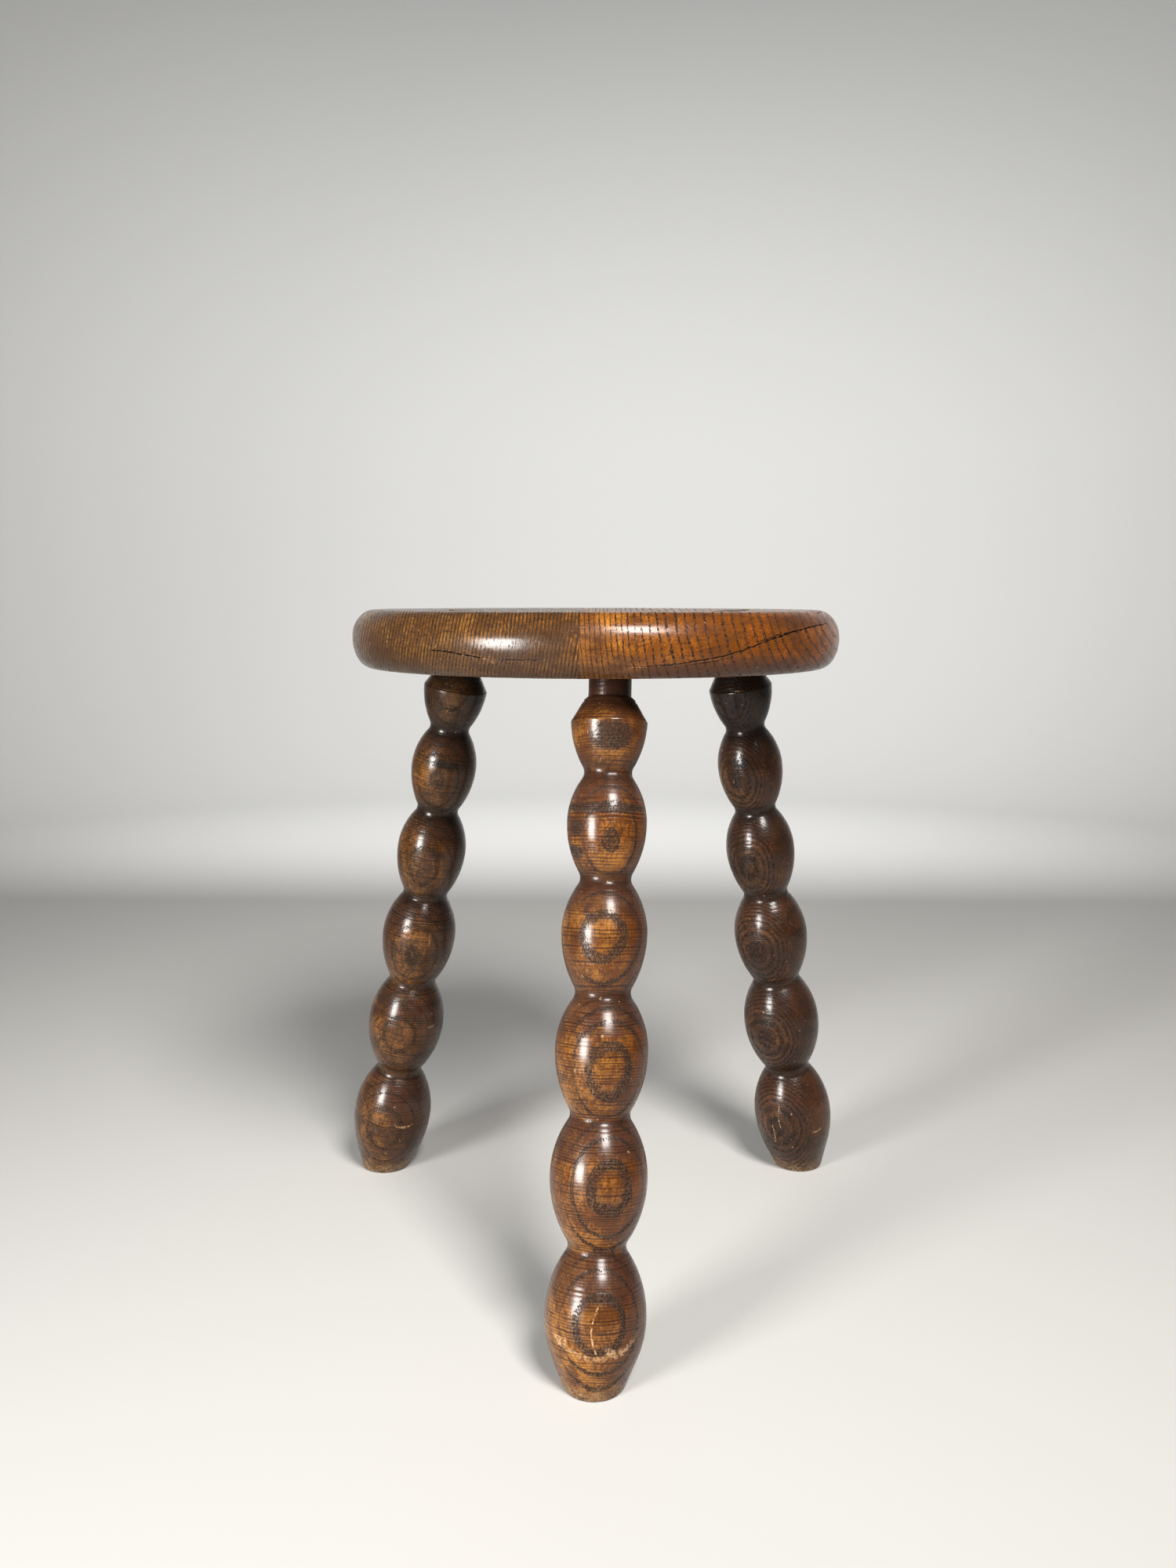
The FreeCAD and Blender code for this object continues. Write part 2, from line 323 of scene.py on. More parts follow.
def finished_piece(name, shape, nodes):
    """Makes the object of a finished shape, which rides on the body in place of CAD nodes."""
    mesh = smooth_mesh(name, shape)
    mesh.set_sharp_from_angle(angle=SMOOTH_ANGLE)
    piece = placed(name, mesh)
    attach(piece, BODY)
    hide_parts(*nodes)
    return piece


def hollow_radius(sizes):
    return sizes.seat_radius - sizes.nose_top_width - sizes.level_rim_width


def hollow_arcs(sizes):
    """The centers and radii of the hollow's shoulder and bowl, and where they meet."""
    edge = hollow_radius(sizes)
    depth = sizes.hollow_depth
    both_radii = (edge ** 2 + depth ** 2) / (2 * depth)
    bowl = both_radii * HOLLOW_BOWL_SHARE
    shoulder = both_radii - bowl
    shoulder_center = in_profile(edge, sizes.seat_top - shoulder)
    bowl_center = in_profile(0, sizes.seat_top - depth + bowl)
    meeting = bowl_center + (shoulder_center - bowl_center) * HOLLOW_BOWL_SHARE
    return shoulder_center, shoulder, bowl_center, bowl, meeting


def seat_surface(sizes, radius):
    """The height of the seat's top at a distance from its middle."""
    shoulder_center, shoulder, bowl_center, bowl, meeting = hollow_arcs(sizes)
    if radius >= shoulder_center.x:
        return sizes.seat_top
    if radius >= meeting.x:
        return shoulder_center.z + math.sqrt(shoulder ** 2 - (shoulder_center.x - radius) ** 2)
    return bowl_center.z - math.sqrt(bowl ** 2 - radius ** 2)


def nose_radius(sizes, height):
    """The seat's radius at a height on its rounded edge."""
    widest = sizes.seat_top - sizes.nose_top_height
    if height >= widest:
        width = sizes.nose_top_width
        rise = (height - widest) / sizes.nose_top_height
    else:
        width = sizes.nose_under_width
        rise = (widest - height) / (widest - sizes.seat_underside)
    return sizes.seat_radius - width + width * math.sqrt(max(0, 1 - rise ** 2))


def carry_nose(shape, tip, center, end, step):
    """Draws a quarter of an ellipse about center: a quarter circle, then scaled in height."""
    before = set(shape.verts)
    width = max(abs(tip.co.x - center.x), abs(end.x - center.x))
    height = max(abs(tip.co.z - center.z), abs(end.z - center.z))
    from_side = abs(tip.co.z - center.z) < abs(tip.co.x - center.x)
    place = tip.co.copy()
    if from_side:
        round_end = in_profile(center.x, center.z + math.copysign(width, end.z - center.z))
    else:
        tip.co.z = center.z + math.copysign(width, tip.co.z - center.z)
        round_end = end
    last = carry_arc(shape, tip, center, round_end, step * width / height)
    added = [vertex for vertex in shape.verts if vertex not in before]
    bmesh.ops.scale(
        shape, vec=(1, 1, height / width), space=Matrix.Translation(-center), verts=added)
    tip.co = place
    return last


def seat_shape(sizes):
    """The whole round seat, before it is bored and split."""
    shape = bmesh.new()
    widest = sizes.seat_top - sizes.nose_top_height
    under_x = sizes.seat_radius - sizes.nose_under_width
    rim_x = sizes.seat_radius - sizes.nose_top_width
    shoulder_center, shoulder, bowl_center, bowl, meeting = hollow_arcs(sizes)

    tip = shape.verts.new(in_profile(0, sizes.seat_underside))
    tip = carry_line(shape, tip, in_profile(under_x, sizes.seat_underside), UNDERSIDE_STEP)
    tip = carry_nose(shape, tip, in_profile(under_x, widest),
                     in_profile(sizes.seat_radius, widest), EDGE_STEP)
    tip = carry_nose(shape, tip, in_profile(rim_x, widest),
                     in_profile(rim_x, sizes.seat_top), EDGE_STEP)
    tip = carry_line(shape, tip, in_profile(shoulder_center.x, sizes.seat_top), TOP_STEP)
    tip = carry_arc(shape, tip, shoulder_center, meeting, TOP_STEP)
    carry_arc(shape, tip, bowl_center, in_profile(0, sizes.seat_top - sizes.hollow_depth),
              TOP_STEP)
    turn_round(shape, SEAT_SEGMENTS)
    return shape


LegFrame = namedtuple("LegFrame", ("matrix", "head", "to_seat_top", "to_floor"))


def leg_frame(sizes, name):
    """A leg's own frame, and its lengths from the cup's rim to the seat and to the floor."""
    leg = LEGS[name]
    foot_turn = math.radians(leg["foot_angle"])
    socket_turn = math.radians(leg["socket_angle"])
    foot = Vector((math.cos(foot_turn), math.sin(foot_turn), 0)) * sizes.foot_circle_radius
    socket = Vector((math.cos(socket_turn), math.sin(socket_turn), 0))
    socket *= sizes.socket_circle_radius * leg["socket_share"]
    socket.z = sizes.seat_underside
    up = (socket - foot).normalized()
    across = (Vector((1, 0, 0)) - up * up.x).normalized()
    head = leg["bare_neck"] + sizes.collar_height + sizes.cone_height
    rim = socket - up * head
    matrix = Matrix((across, up.cross(across), up)).transposed().to_4x4()
    matrix.translation = rim
    to_seat_top = head + (sizes.seat_top - sizes.seat_underside) / up.z
    return LegFrame(matrix, head, to_seat_top, (rim - foot).length)


def bore(blank, sizes, names):
    """Bores the sockets of the named legs through a board with a Boolean modifier."""
    radius = sizes.tenon_radius + sizes.tenon_gap
    for name in names:
        leg = leg_frame(sizes, name)
        bit = bmesh.new()
        bmesh.ops.create_cone(
            bit, cap_ends=True, segments=WEDGE_SEGMENTS, depth=2 * leg.to_seat_top,
            radius1=radius, radius2=radius,
            matrix=leg.matrix @ Matrix.Translation(UP * leg.to_seat_top))
        drill = placed("drill_" + name, smooth_mesh("drill_" + name, bit))
        hole = blank.modifiers.new("socket_" + name, "BOOLEAN")
        hole.operation = "DIFFERENCE"
        hole.solver = "EXACT"
        hole.object = drill
        shapes = bpy.context.evaluated_depsgraph_get()
        shapes.update()
        cut = bpy.data.meshes.new_from_object(blank.evaluated_get(shapes))
        blank.modifiers.clear()
        blank.data = cut
        bpy.data.objects.remove(drill)


def crack_line(sizes, crack, seed):
    """Close points along a crack on the seat's edge, each with its share of the full width."""
    places = crack["places"]
    points = []
    for (turn, height), (next_turn, next_height) in zip(places, places[1:]):
        length = math.radians(next_turn - turn) * sizes.seat_radius
        steps = math.ceil(length / CRACK_STEP)
        for step in range(steps):
            share = step / steps
            points.append((turn + (next_turn - turn) * share,
                           (height + (next_height - height) * share) * MM))
    line = []
    end_share, middle_share = CRACK_END_SHARES
    least, change = CRACK_WIDTH_SHARES
    for index, (turn, height) in enumerate(points):
        along = index * CRACK_STEP
        wander = sum(noise.noise(Vector((along / pitch, seed, row))) * swing
                     for pitch, swing, row in CRACK_WANDERS)
        height = min(height + wander, sizes.seat_top)
        radius = nose_radius(sizes, height)
        angle = math.radians(turn)
        share = index / len(points)
        taper = math.sin(math.pi * min(1, share * middle_share + end_share)) ** CRACK_END_POWER
        taper *= least + change * noise.noise(
            Vector((along / CRACK_WIDTH_PITCH, seed, CRACK_WIDTH_ROW)))
        point = Vector((radius * math.sin(angle), -radius * math.cos(angle), height))
        line.append((point, max(0, taper)))
    return line


def open_cracks(shape, sizes, cracks, seed):
    """Divides the board finely along its cracks and opens them as narrow grooves."""
    lines = [crack_line(sizes, crack, seed + index) for index, crack in enumerate(cracks)]
    points = kdtree.KDTree(sum(len(line) for line in lines))
    owners = []
    for crack, line in zip(cracks, lines):
        for point, taper in line:
            points.insert(point, len(owners))
            owners.append((crack, taper))
    points.balance()

    near = [face for face in shape.faces
            if points.find(face.calc_center_median())[2] < CRACK_FINE_REACH]
    edges = list(dict.fromkeys(edge for face in near for edge in face.edges))
    bmesh.ops.subdivide_edges(shape, edges=edges, cuts=CRACK_CUTS, use_grid_fill=True)
    shape.normal_update()

    mark = shape.verts.layers.float.new("crack")
    moved = []
    for vertex in shape.verts:
        place, index, distance = points.find(vertex.co)
        if distance > CRACK_SHAPE_REACH:
            continue
        crack, taper = owners[index]
        reach = crack["width"] / 2
        opening = max(0, 1 - distance / (reach * (1 + taper) / 2))
        soot = max(0, 1 - distance / (reach + CRACK_SOOT_REACH))
        vertex[mark] = soot * min(1, taper * 1.5)
        moved.append((vertex, vertex.normal * crack["depth"] * taper * opening))
    for vertex, push in moved:
        vertex.co -= push


def sunken(point, waves, seed):
    """How far wear has lowered the surface at a point."""
    return sum(depth * (1 + noise.noise(point / width + UP * seed)) for width, depth in waves)


def dent(shape, chance, spared, count, widths, depths):
    """Presses round dents into a shape around random vertices, but not where spared says so."""
    vertices = shape.verts[:]
    places = kdtree.KDTree(len(vertices))
    for index, vertex in enumerate(vertices):
        places.insert(vertex.co, index)
    places.balance()
    for _ in range(count):
        center = vertices[chance.randrange(len(vertices))].co.copy()
        if spared(center):
            continue
        size = chance.uniform(*widths) * MM
        depth = chance.uniform(*depths) * MM
        for place, index, distance in places.find_range(center, size):
            fall = (1 - (distance / size) ** 2) ** 2
            vertices[index].co -= vertices[index].normal * depth * fall


def wear_board(shape, sizes, seed):
    """Takes the newness off a board: a slightly uneven edge, a dished top and small dents."""
    nose = sizes.seat_radius - sizes.nose_top_width
    for vertex in shape.verts:
        radius = math.hypot(vertex.co.x, vertex.co.y)
        sink = sunken(vertex.co, BOARD_WAVES, seed)
        if radius > nose:
            inward = Vector((-vertex.co.x, -vertex.co.y, 0)).normalized()
            vertex.co += inward * sink * (radius - nose) / sizes.nose_top_width
        if vertex.co.z > sizes.seat_top - sizes.nose_top_height:
            vertex.co.z -= sink * BOARD_TOP_WEAR_SHARE
    underside = sizes.seat_underside + MM
    dent(shape, random.Random(seed), lambda point: point.z < underside, **BOARD_DENTS)


def turned_profile(shape, sizes, head, to_seat_top, to_floor):
    """Draws the leg's profile from the middle of the tenon's end to the middle of the foot."""
    leg_line = math.hypot(
        sizes.seat_underside, sizes.foot_circle_radius - sizes.socket_circle_radius)
    necks = [in_profile(sizes.first_neck_radius * radius_share, -leg_line * place_share)
             for place_share, radius_share in zip(NECK_PLACE_SHARES, NECK_RADIUS_SHARES)]
    beads = [in_profile(sizes.cup_radius, sizes.cup_rim_drop)]
    for above, below, share in zip(necks, necks[1:], BEAD_RADIUS_SHARES):
        height = above.z + (below.z - above.z) * BEAD_WIDEST_SHARE
        beads.append(in_profile(sizes.first_bead_radius * share, height))
    beads.append(in_profile(
        sizes.first_bead_radius * FOOT_RADIUS_SHARE, -leg_line * FOOT_PLACE_SHARE))

    cup_center = side_and_cove(beads[0], necks[0], sizes.cove_radius)[0]
    cup_arc = sizes.cup_radius - cup_center.x
    rim = in_profile(cup_center.x + math.sqrt(cup_arc ** 2 - sizes.cup_rim_drop ** 2), 0)
    tip_height = to_seat_top - sizes.wedge_length
    collar_top = sizes.cone_height + sizes.collar_height
    tip = shape.verts.new(in_profile(0, to_seat_top))
    for radius, height, step in (
            (sizes.tenon_radius, to_seat_top, TENON_STEP),
            (sizes.tenon_radius, tip_height, to_seat_top),
            (sizes.tenon_radius, head, to_seat_top),
            (sizes.tenon_radius, collar_top, TURNING_STEP),
            (sizes.collar_radius, sizes.cone_height, TURNING_STEP),
            (rim.x, rim.z, TURNING_STEP)):
        tip = carry_line(shape, tip, in_profile(radius, height), step)

    for above, below, neck in zip(beads, beads[1:], necks):
        upper_center, cove_center, cove_top = side_and_cove(above, neck, sizes.cove_radius)
        lower_center, cove_center, cove_foot = side_and_cove(below, neck, sizes.cove_radius)
        tip = carry_arc(shape, tip, upper_center, cove_top, TURNING_STEP)
        tip = carry_arc(shape, tip, cove_center, cove_foot, TURNING_STEP)
        tip = carry_arc(shape, tip, lower_center, below, TURNING_STEP)
    foot_center, touch, narrowing = side_and_taper(sizes, beads[-1], to_floor)
    past_floor = sizes.foot_end_radius
    end = in_profile(sizes.foot_end_radius - past_floor * narrowing, -to_floor - past_floor)
    tip = carry_arc(shape, tip, foot_center, touch, TURNING_STEP)
    tip = carry_line(shape, tip, end, TURNING_STEP)
    carry_line(shape, tip, in_profile(0, end.z), TENON_STEP)


def side_and_cove(bead, neck, cove):
    """The arc centers of a bead's side and of the cove that it runs into, and where they touch."""
    run = bead.z - neck.z
    fall = bead.x - neck.x
    side = (run ** 2 + (fall - cove) ** 2 - cove ** 2) / (2 * fall)
    side_center = in_profile(bead.x - side, bead.z)
    cove_center = in_profile(neck.x + cove, neck.z)
    touch = cove_center + (side_center - cove_center).normalized() * cove
    return side_center, cove_center, touch


def side_and_taper(sizes, bead, to_floor):
    """The arc center of the foot bead's side, where it touches the foot's straight taper, and
    how much radius the taper loses per length."""
    run = to_floor + bead.z
    fall = bead.x - sizes.foot_end_radius
    narrowing = sizes.foot_taper_share * fall / run
    turn = math.atan(narrowing)
    side = (run * narrowing - fall) / (1 / math.cos(turn) - 1)
    side_center = in_profile(bead.x - side, bead.z)
    touch = side_center + in_profile(math.cos(turn), -math.sin(turn)) * side
    return side_center, touch, narrowing


def soften_turned_edges(shape, sizes):
    """Rounds the sharp rims of the collar and the cup, as handling does."""
    rims = [edge for edge in shape.edges
            if -sizes.cup_rim_drop < edge.verts[0].co.z < sizes.cone_height + MERGE_DISTANCE
            and abs(edge.verts[0].co.z - edge.verts[1].co.z) < MERGE_DISTANCE
            and edge.calc_face_angle(0) > RIM_ANGLE]
    bmesh.ops.bevel(
        shape, geom=rims, offset=RIM_ROUNDING, offset_type="OFFSET", affect="EDGES",
        segments=RIM_SEGMENTS, profile=0.5, material=-1)


def turning_marks(shape, sizes, head, seed):
    """Leaves the lathe's fine ridges, a few deeper tool marks and small dents in the leg."""
    chance = random.Random(seed)
    lowest = min(vertex.co.z for vertex in shape.verts)
    cuts = [(chance.uniform(lowest, sizes.cone_height),
             chance.uniform(*TOOL_MARKS["widths"]) * MM,
             chance.uniform(*TOOL_MARKS["depths"]) * MM) for _ in range(TOOL_MARKS["count"])]
    cuts.append((sizes.cone_height - SCORED_LINE["drop"], SCORED_LINE["width"],
                 SCORED_LINE["depth"]))
    for vertex in shape.verts:
        radius = math.hypot(vertex.co.x, vertex.co.y)
        height = vertex.co.z
        if radius < sizes.tenon_radius / 2 or height > head:
            continue
        depth = sunken(vertex.co, LEG_WAVES, seed)
        for width, deep in LATHE_WAVES:
            depth += deep * (1 + noise.noise(Vector((0, seed, height / width))))
        for place, width, deep in cuts:
            if abs(height - place) < 3 * width:
                depth += deep * math.exp(-((height - place) / width) ** 2)
        shrink = 1 - depth / radius
        vertex.co.x *= shrink
        vertex.co.y *= shrink
    shape.normal_update()
    dent(shape, chance, lambda point: point.z > sizes.cone_height, **LEG_DENTS)


def wedge_walls(sizes, to_seat_top):
    """A point and the outward normal of each of the wedge's two faces."""
    tip = to_seat_top - sizes.wedge_length
    half_tip = sizes.wedge_tip_thickness / 2
    lean = math.atan2(sizes.wedge_thickness / 2 - half_tip, sizes.wedge_length)
    walls = []
    for side in (1, -1):
        normal = Vector((0, side * math.cos(lean), -math.sin(lean)))
        walls.append((Vector((0, side * half_tip, tip)), normal))
    return walls


def split_tenon(shape, sizes, to_seat_top):
    """Opens the slot in the tenon that the wedge fills."""
    tip = to_seat_top - sizes.wedge_length
    walls = wedge_walls(sizes, to_seat_top)
    for point, normal in walls:
        upper = [face for face in shape.faces
                 if min(vertex.co.z for vertex in face.verts) > tip - MERGE_DISTANCE]
        parts = dict.fromkeys(part for face in upper for part in (*face.verts, *face.edges))
        bmesh.ops.bisect_plane(
            shape, geom=upper + list(parts), dist=MERGE_DISTANCE, plane_co=point,
            plane_no=normal)
    between = [face for face in shape.faces
               if face.calc_center_median().z > tip + MERGE_DISTANCE
               and all((face.calc_center_median() - point).dot(normal) < 0
                       for point, normal in walls)]
    bmesh.ops.delete(shape, geom=between, context="FACES")
    open_edges = [edge for edge in shape.edges if edge.is_boundary]
    floor_edges = [edge for edge in open_edges
                   if max(vertex.co.z for vertex in edge.verts) < tip + MERGE_DISTANCE]
    for point, normal in walls:
        wall_edges = [edge for edge in open_edges
                      if edge not in floor_edges
                      and all(abs((vertex.co - point).dot(normal)) < 2 * MERGE_DISTANCE
                              for vertex in edge.verts)]
        feet = [vertex for edge in wall_edges for vertex in edge.verts
                if vertex.co.z < tip + MERGE_DISTANCE]
        chord = shape.edges.new(feet)
        bmesh.ops.contextual_create(shape, geom=wall_edges + [chord])
        floor_edges.append(chord)
    bmesh.ops.contextual_create(shape, geom=floor_edges)


def lay_on_seat(sizes, top, matrix, rise):
    """Slides a tenon's or wedge's end along its leg to just above the hollow of the seat."""
    up = matrix.to_3x3() @ UP
    for vertex in top:
        for _ in range(SLIDE_ROUNDS):
            radius = math.hypot(vertex.co.x, vertex.co.y)
            vertex.co += up * (seat_surface(sizes, radius) + rise - vertex.co.z) / up.z


def worn_foot(shape, sizes, foot, seed):
    """Rounds the foot where it meets the floor, more in some places than in others."""
    for vertex in shape.verts:
        inward = Vector((foot.x - vertex.co.x, foot.y - vertex.co.y, 0))
        turn = inward.normalized()
        uneven = sum(share * noise.noise(turn * waves + UP * seed)
                     for waves, share in FOOT_WEAR_WAVES)
        round_off = sizes.foot_edge_round * (1 + uneven)
        height = vertex.co.z
        if (height < round_off
                and inward.length > sizes.foot_end_radius * FOOT_WEAR_RADIUS_SHARE):
            draw_in = round_off - math.sqrt(max(0, round_off ** 2 - (round_off - height) ** 2))
            vertex.co += turn * draw_in


def make_leg(sizes, name):
    seed = LEGS[name]["seed"]
    matrix, head, to_seat_top, to_floor = leg_frame(sizes, name)
    shape = bmesh.new()
    turned_profile(shape, sizes, head, to_seat_top, to_floor)
    turn_round(shape, LEG_SEGMENTS)
    soften_turned_edges(shape, sizes)
    turning_marks(shape, sizes, head, seed)
    split_tenon(shape, sizes, to_seat_top)
    top = [vertex for vertex in shape.verts if vertex.co.z > to_seat_top - MERGE_DISTANCE]
    shape.transform(matrix)
    lay_on_seat(sizes, top, matrix, sizes.tenon_rise)
    cut_away(shape, Vector((0, 0, 0)), -UP)
    worn_foot(shape, sizes, matrix @ Vector((0, 0, -to_floor)), seed)
    bmesh.ops.recalc_face_normals(shape, faces=shape.faces[:])
    return finished_piece("turned_leg_" + name, shape, ["leg_" + name])


def make_wedge(sizes, name):
    leg = leg_frame(sizes, name)
    shape = bmesh.new()
    middle = leg.to_seat_top - sizes.wedge_length / 2
    bmesh.ops.create_cone(
        shape, cap_ends=True, segments=WEDGE_SEGMENTS, radius1=sizes.tenon_radius,
        radius2=sizes.tenon_radius, depth=sizes.wedge_length,
        matrix=Matrix.Translation(UP * middle))
    for point, normal in wedge_walls(sizes, leg.to_seat_top):
        cut_away(shape, point - normal * WEDGE_GLUE, normal)
    long_edges = [edge for edge in shape.edges
                  if abs(edge.verts[0].co.x - edge.verts[1].co.x) > sizes.tenon_radius]
    bmesh.ops.subdivide_edges(shape, edges=long_edges, cuts=WEDGE_CUTS)
    top = [vertex for vertex in shape.verts
           if vertex.co.z > leg.to_seat_top - MERGE_DISTANCE]
    shape.transform(leg.matrix)
    lay_on_seat(sizes, top, leg.matrix, sizes.tenon_rise * WEDGE_RISE_SHARE)
    bmesh.ops.recalc_face_normals(shape, faces=shape.faces[:])
    return finished_piece("oak_wedge_" + name, shape, ["wedge_" + name])


def make_board(sizes, side):
    """One board of the seat, split off at the glued joint, bored, cracked and worn."""
    board = BOARDS[side]
    shape = seat_shape(sizes)
    cut_away(shape, Vector((sizes.joint_x, 0, 0)), Vector((board["joint_side"], 0, 0)))
    bmesh.ops.recalc_face_normals(shape, faces=shape.faces[:])
    blank = placed("blank_" + side, smooth_mesh("blank_" + side, shape))
    bore(blank, sizes, board["legs"])
    shape = bmesh.new()
    shape.from_mesh(blank.data)
    bpy.data.objects.remove(blank)
    open_cracks(shape, sizes, board["cracks"], board["seed"])
    shape.normal_update()
    wear_board(shape, sizes, board["seed"])
    return finished_piece("edge_glued_board_" + side, shape, ["seat_board_" + side])


class Field:
    """A shader socket, so that patterns can be written as sums."""

    def __init__(self, recipe, socket):
        self.recipe = recipe
        self.socket = socket

    def __add__(self, other):
        return self.recipe.math("ADD", self, other)

    def __sub__(self, other):
        return self.recipe.math("SUBTRACT", self, other)

    def __rsub__(self, other):
        return self.recipe.math("SUBTRACT", other, self)

    def __mul__(self, other):
        return self.recipe.math("MULTIPLY", self, other)

    def __truediv__(self, other):
        return self.recipe.math("DIVIDE", self, other)

    __radd__ = __add__
    __rmul__ = __mul__


class Recipe:
    """A material's nodes. Places are in mm, and patterns run from 0 to 1."""

    def __init__(self, name):
        self.material = bpy.data.materials.new(name)
        self.material.use_nodes = True
        self.tree = self.material.node_tree
        self.tree.nodes.clear()

    def node(self, kind, settings, inputs, output=0):
        """Adds a node with its settings and inputs, and returns one of its outputs."""
        node = self.tree.nodes.new(kind)
        for key, value in settings.items():
            setattr(node, key, value)
        for key, value in inputs.items():
            if isinstance(value, Field):
                self.tree.links.new(value.socket, node.inputs[key])
            else:
                node.inputs[key].default_value = value
        return Field(self, node.outputs[output])

    def math(self, operation, *values):
        return self.node("ShaderNodeMath", {"operation": operation}, dict(enumerate(values)))

    def vector(self, x, y, z):
        return self.node("ShaderNodeCombineXYZ", {}, {"X": x, "Y": y, "Z": z})

    def split(self, vector):
        return [self.node("ShaderNodeSeparateXYZ", {}, {"Vector": vector}, axis)
                for axis in "XYZ"]

    def in_frame(self, matrix):
        """X, Y and Z in mm in the frame that a matrix sets in the piece."""
        return self.split(self.node(
            "ShaderNodeMapping", {"vector_type": "TEXTURE"},
            {"Vector": self.node("ShaderNodeTexCoord", {}, {}, "Object"),
             "Location": matrix.translation, "Rotation": matrix.to_euler(),
             "Scale": (MM, MM, MM)}))

    def length(self, first, second):
        return self.math("SQRT", first * first + second * second)

    def degrees(self, side, out):
        return self.math("ARCTAN2", side, out) * math.degrees(1)

    def highest(self, *fields):
        top = fields[0]
        for field in fields[1:]:
            top = self.math("MAXIMUM", top, field)
        return top

    def ease(self, value, low, high):
        """0 where value is low, 1 where it is high, and a smooth rise between."""
        return self.node(
            "ShaderNodeMapRange", {"interpolation_type": "SMOOTHSTEP"},
            {"Value": value, "From Min": low, "From Max": high})

    def cloud(self, place, size, shift=(0, 0, 0), detail=2.0, roughness=0.5):
        """Cloudy noise over a place, with clouds of a size along each of its axes."""
        axes = [value / width + offset if offset else value / width
                for value, width, offset in zip(place, size, shift)]
        return self.node(
            "ShaderNodeTexNoise", {"noise_dimensions": "3D"},
            {"Vector": self.vector(*axes), "Scale": 1.0, "Detail": detail,
             "Roughness": roughness})

    def flecks(self, limits, place, size, shift=(0, 0, 0), detail=2.0, roughness=0.5):
        """Flecks where a cloud is thick: they rise between two limits."""
        return self.ease(self.cloud(place, size, shift, detail, roughness), *limits)

    def waves(self, value, size, shift, detail):
        """Cloudy noise along one line."""
        return self.node(
            "ShaderNodeTexNoise", {"noise_dimensions": "1D"},
            {"W": value / size + shift, "Scale": 1.0, "Detail": detail, "Roughness": 0.5})

    def cells(self, place, size):
        """The distance from the middle of scattered cells of a size."""
        axes = [value / width for value, width in zip(place, size)]
        return self.node(
            "ShaderNodeTexVoronoi", {"voronoi_dimensions": "3D", "feature": "F1"},
            {"Vector": self.vector(*axes), "Scale": 1.0}, "Distance")

    def lot(self, value):
        """A random share for each whole number of a value."""
        return self.node("ShaderNodeTexWhiteNoise", {"noise_dimensions": "1D"},
                         {"W": self.math("FLOOR", value)}, "Value")

    def mix(self, share, first, second):
        """first where share is 0, second where it is 1. Both are colours."""
        both = [color if isinstance(color, Field) else (*color, 1.0) for color in (first, second)]
        return self.node(
            "ShaderNodeMix", {"data_type": "RGBA", "clamp_factor": True},
            {0: share, 6: both[0], 7: both[1]}, 2)

    def surface(self, values):
        """Makes a shader of the given values the material's surface, and returns the material."""
        shader = self.node("ShaderNodeBsdfPrincipled", {}, values)
        output = self.tree.nodes.new("ShaderNodeOutputMaterial")
        self.tree.links.new(shader.socket, output.inputs["Surface"])
        return self.material


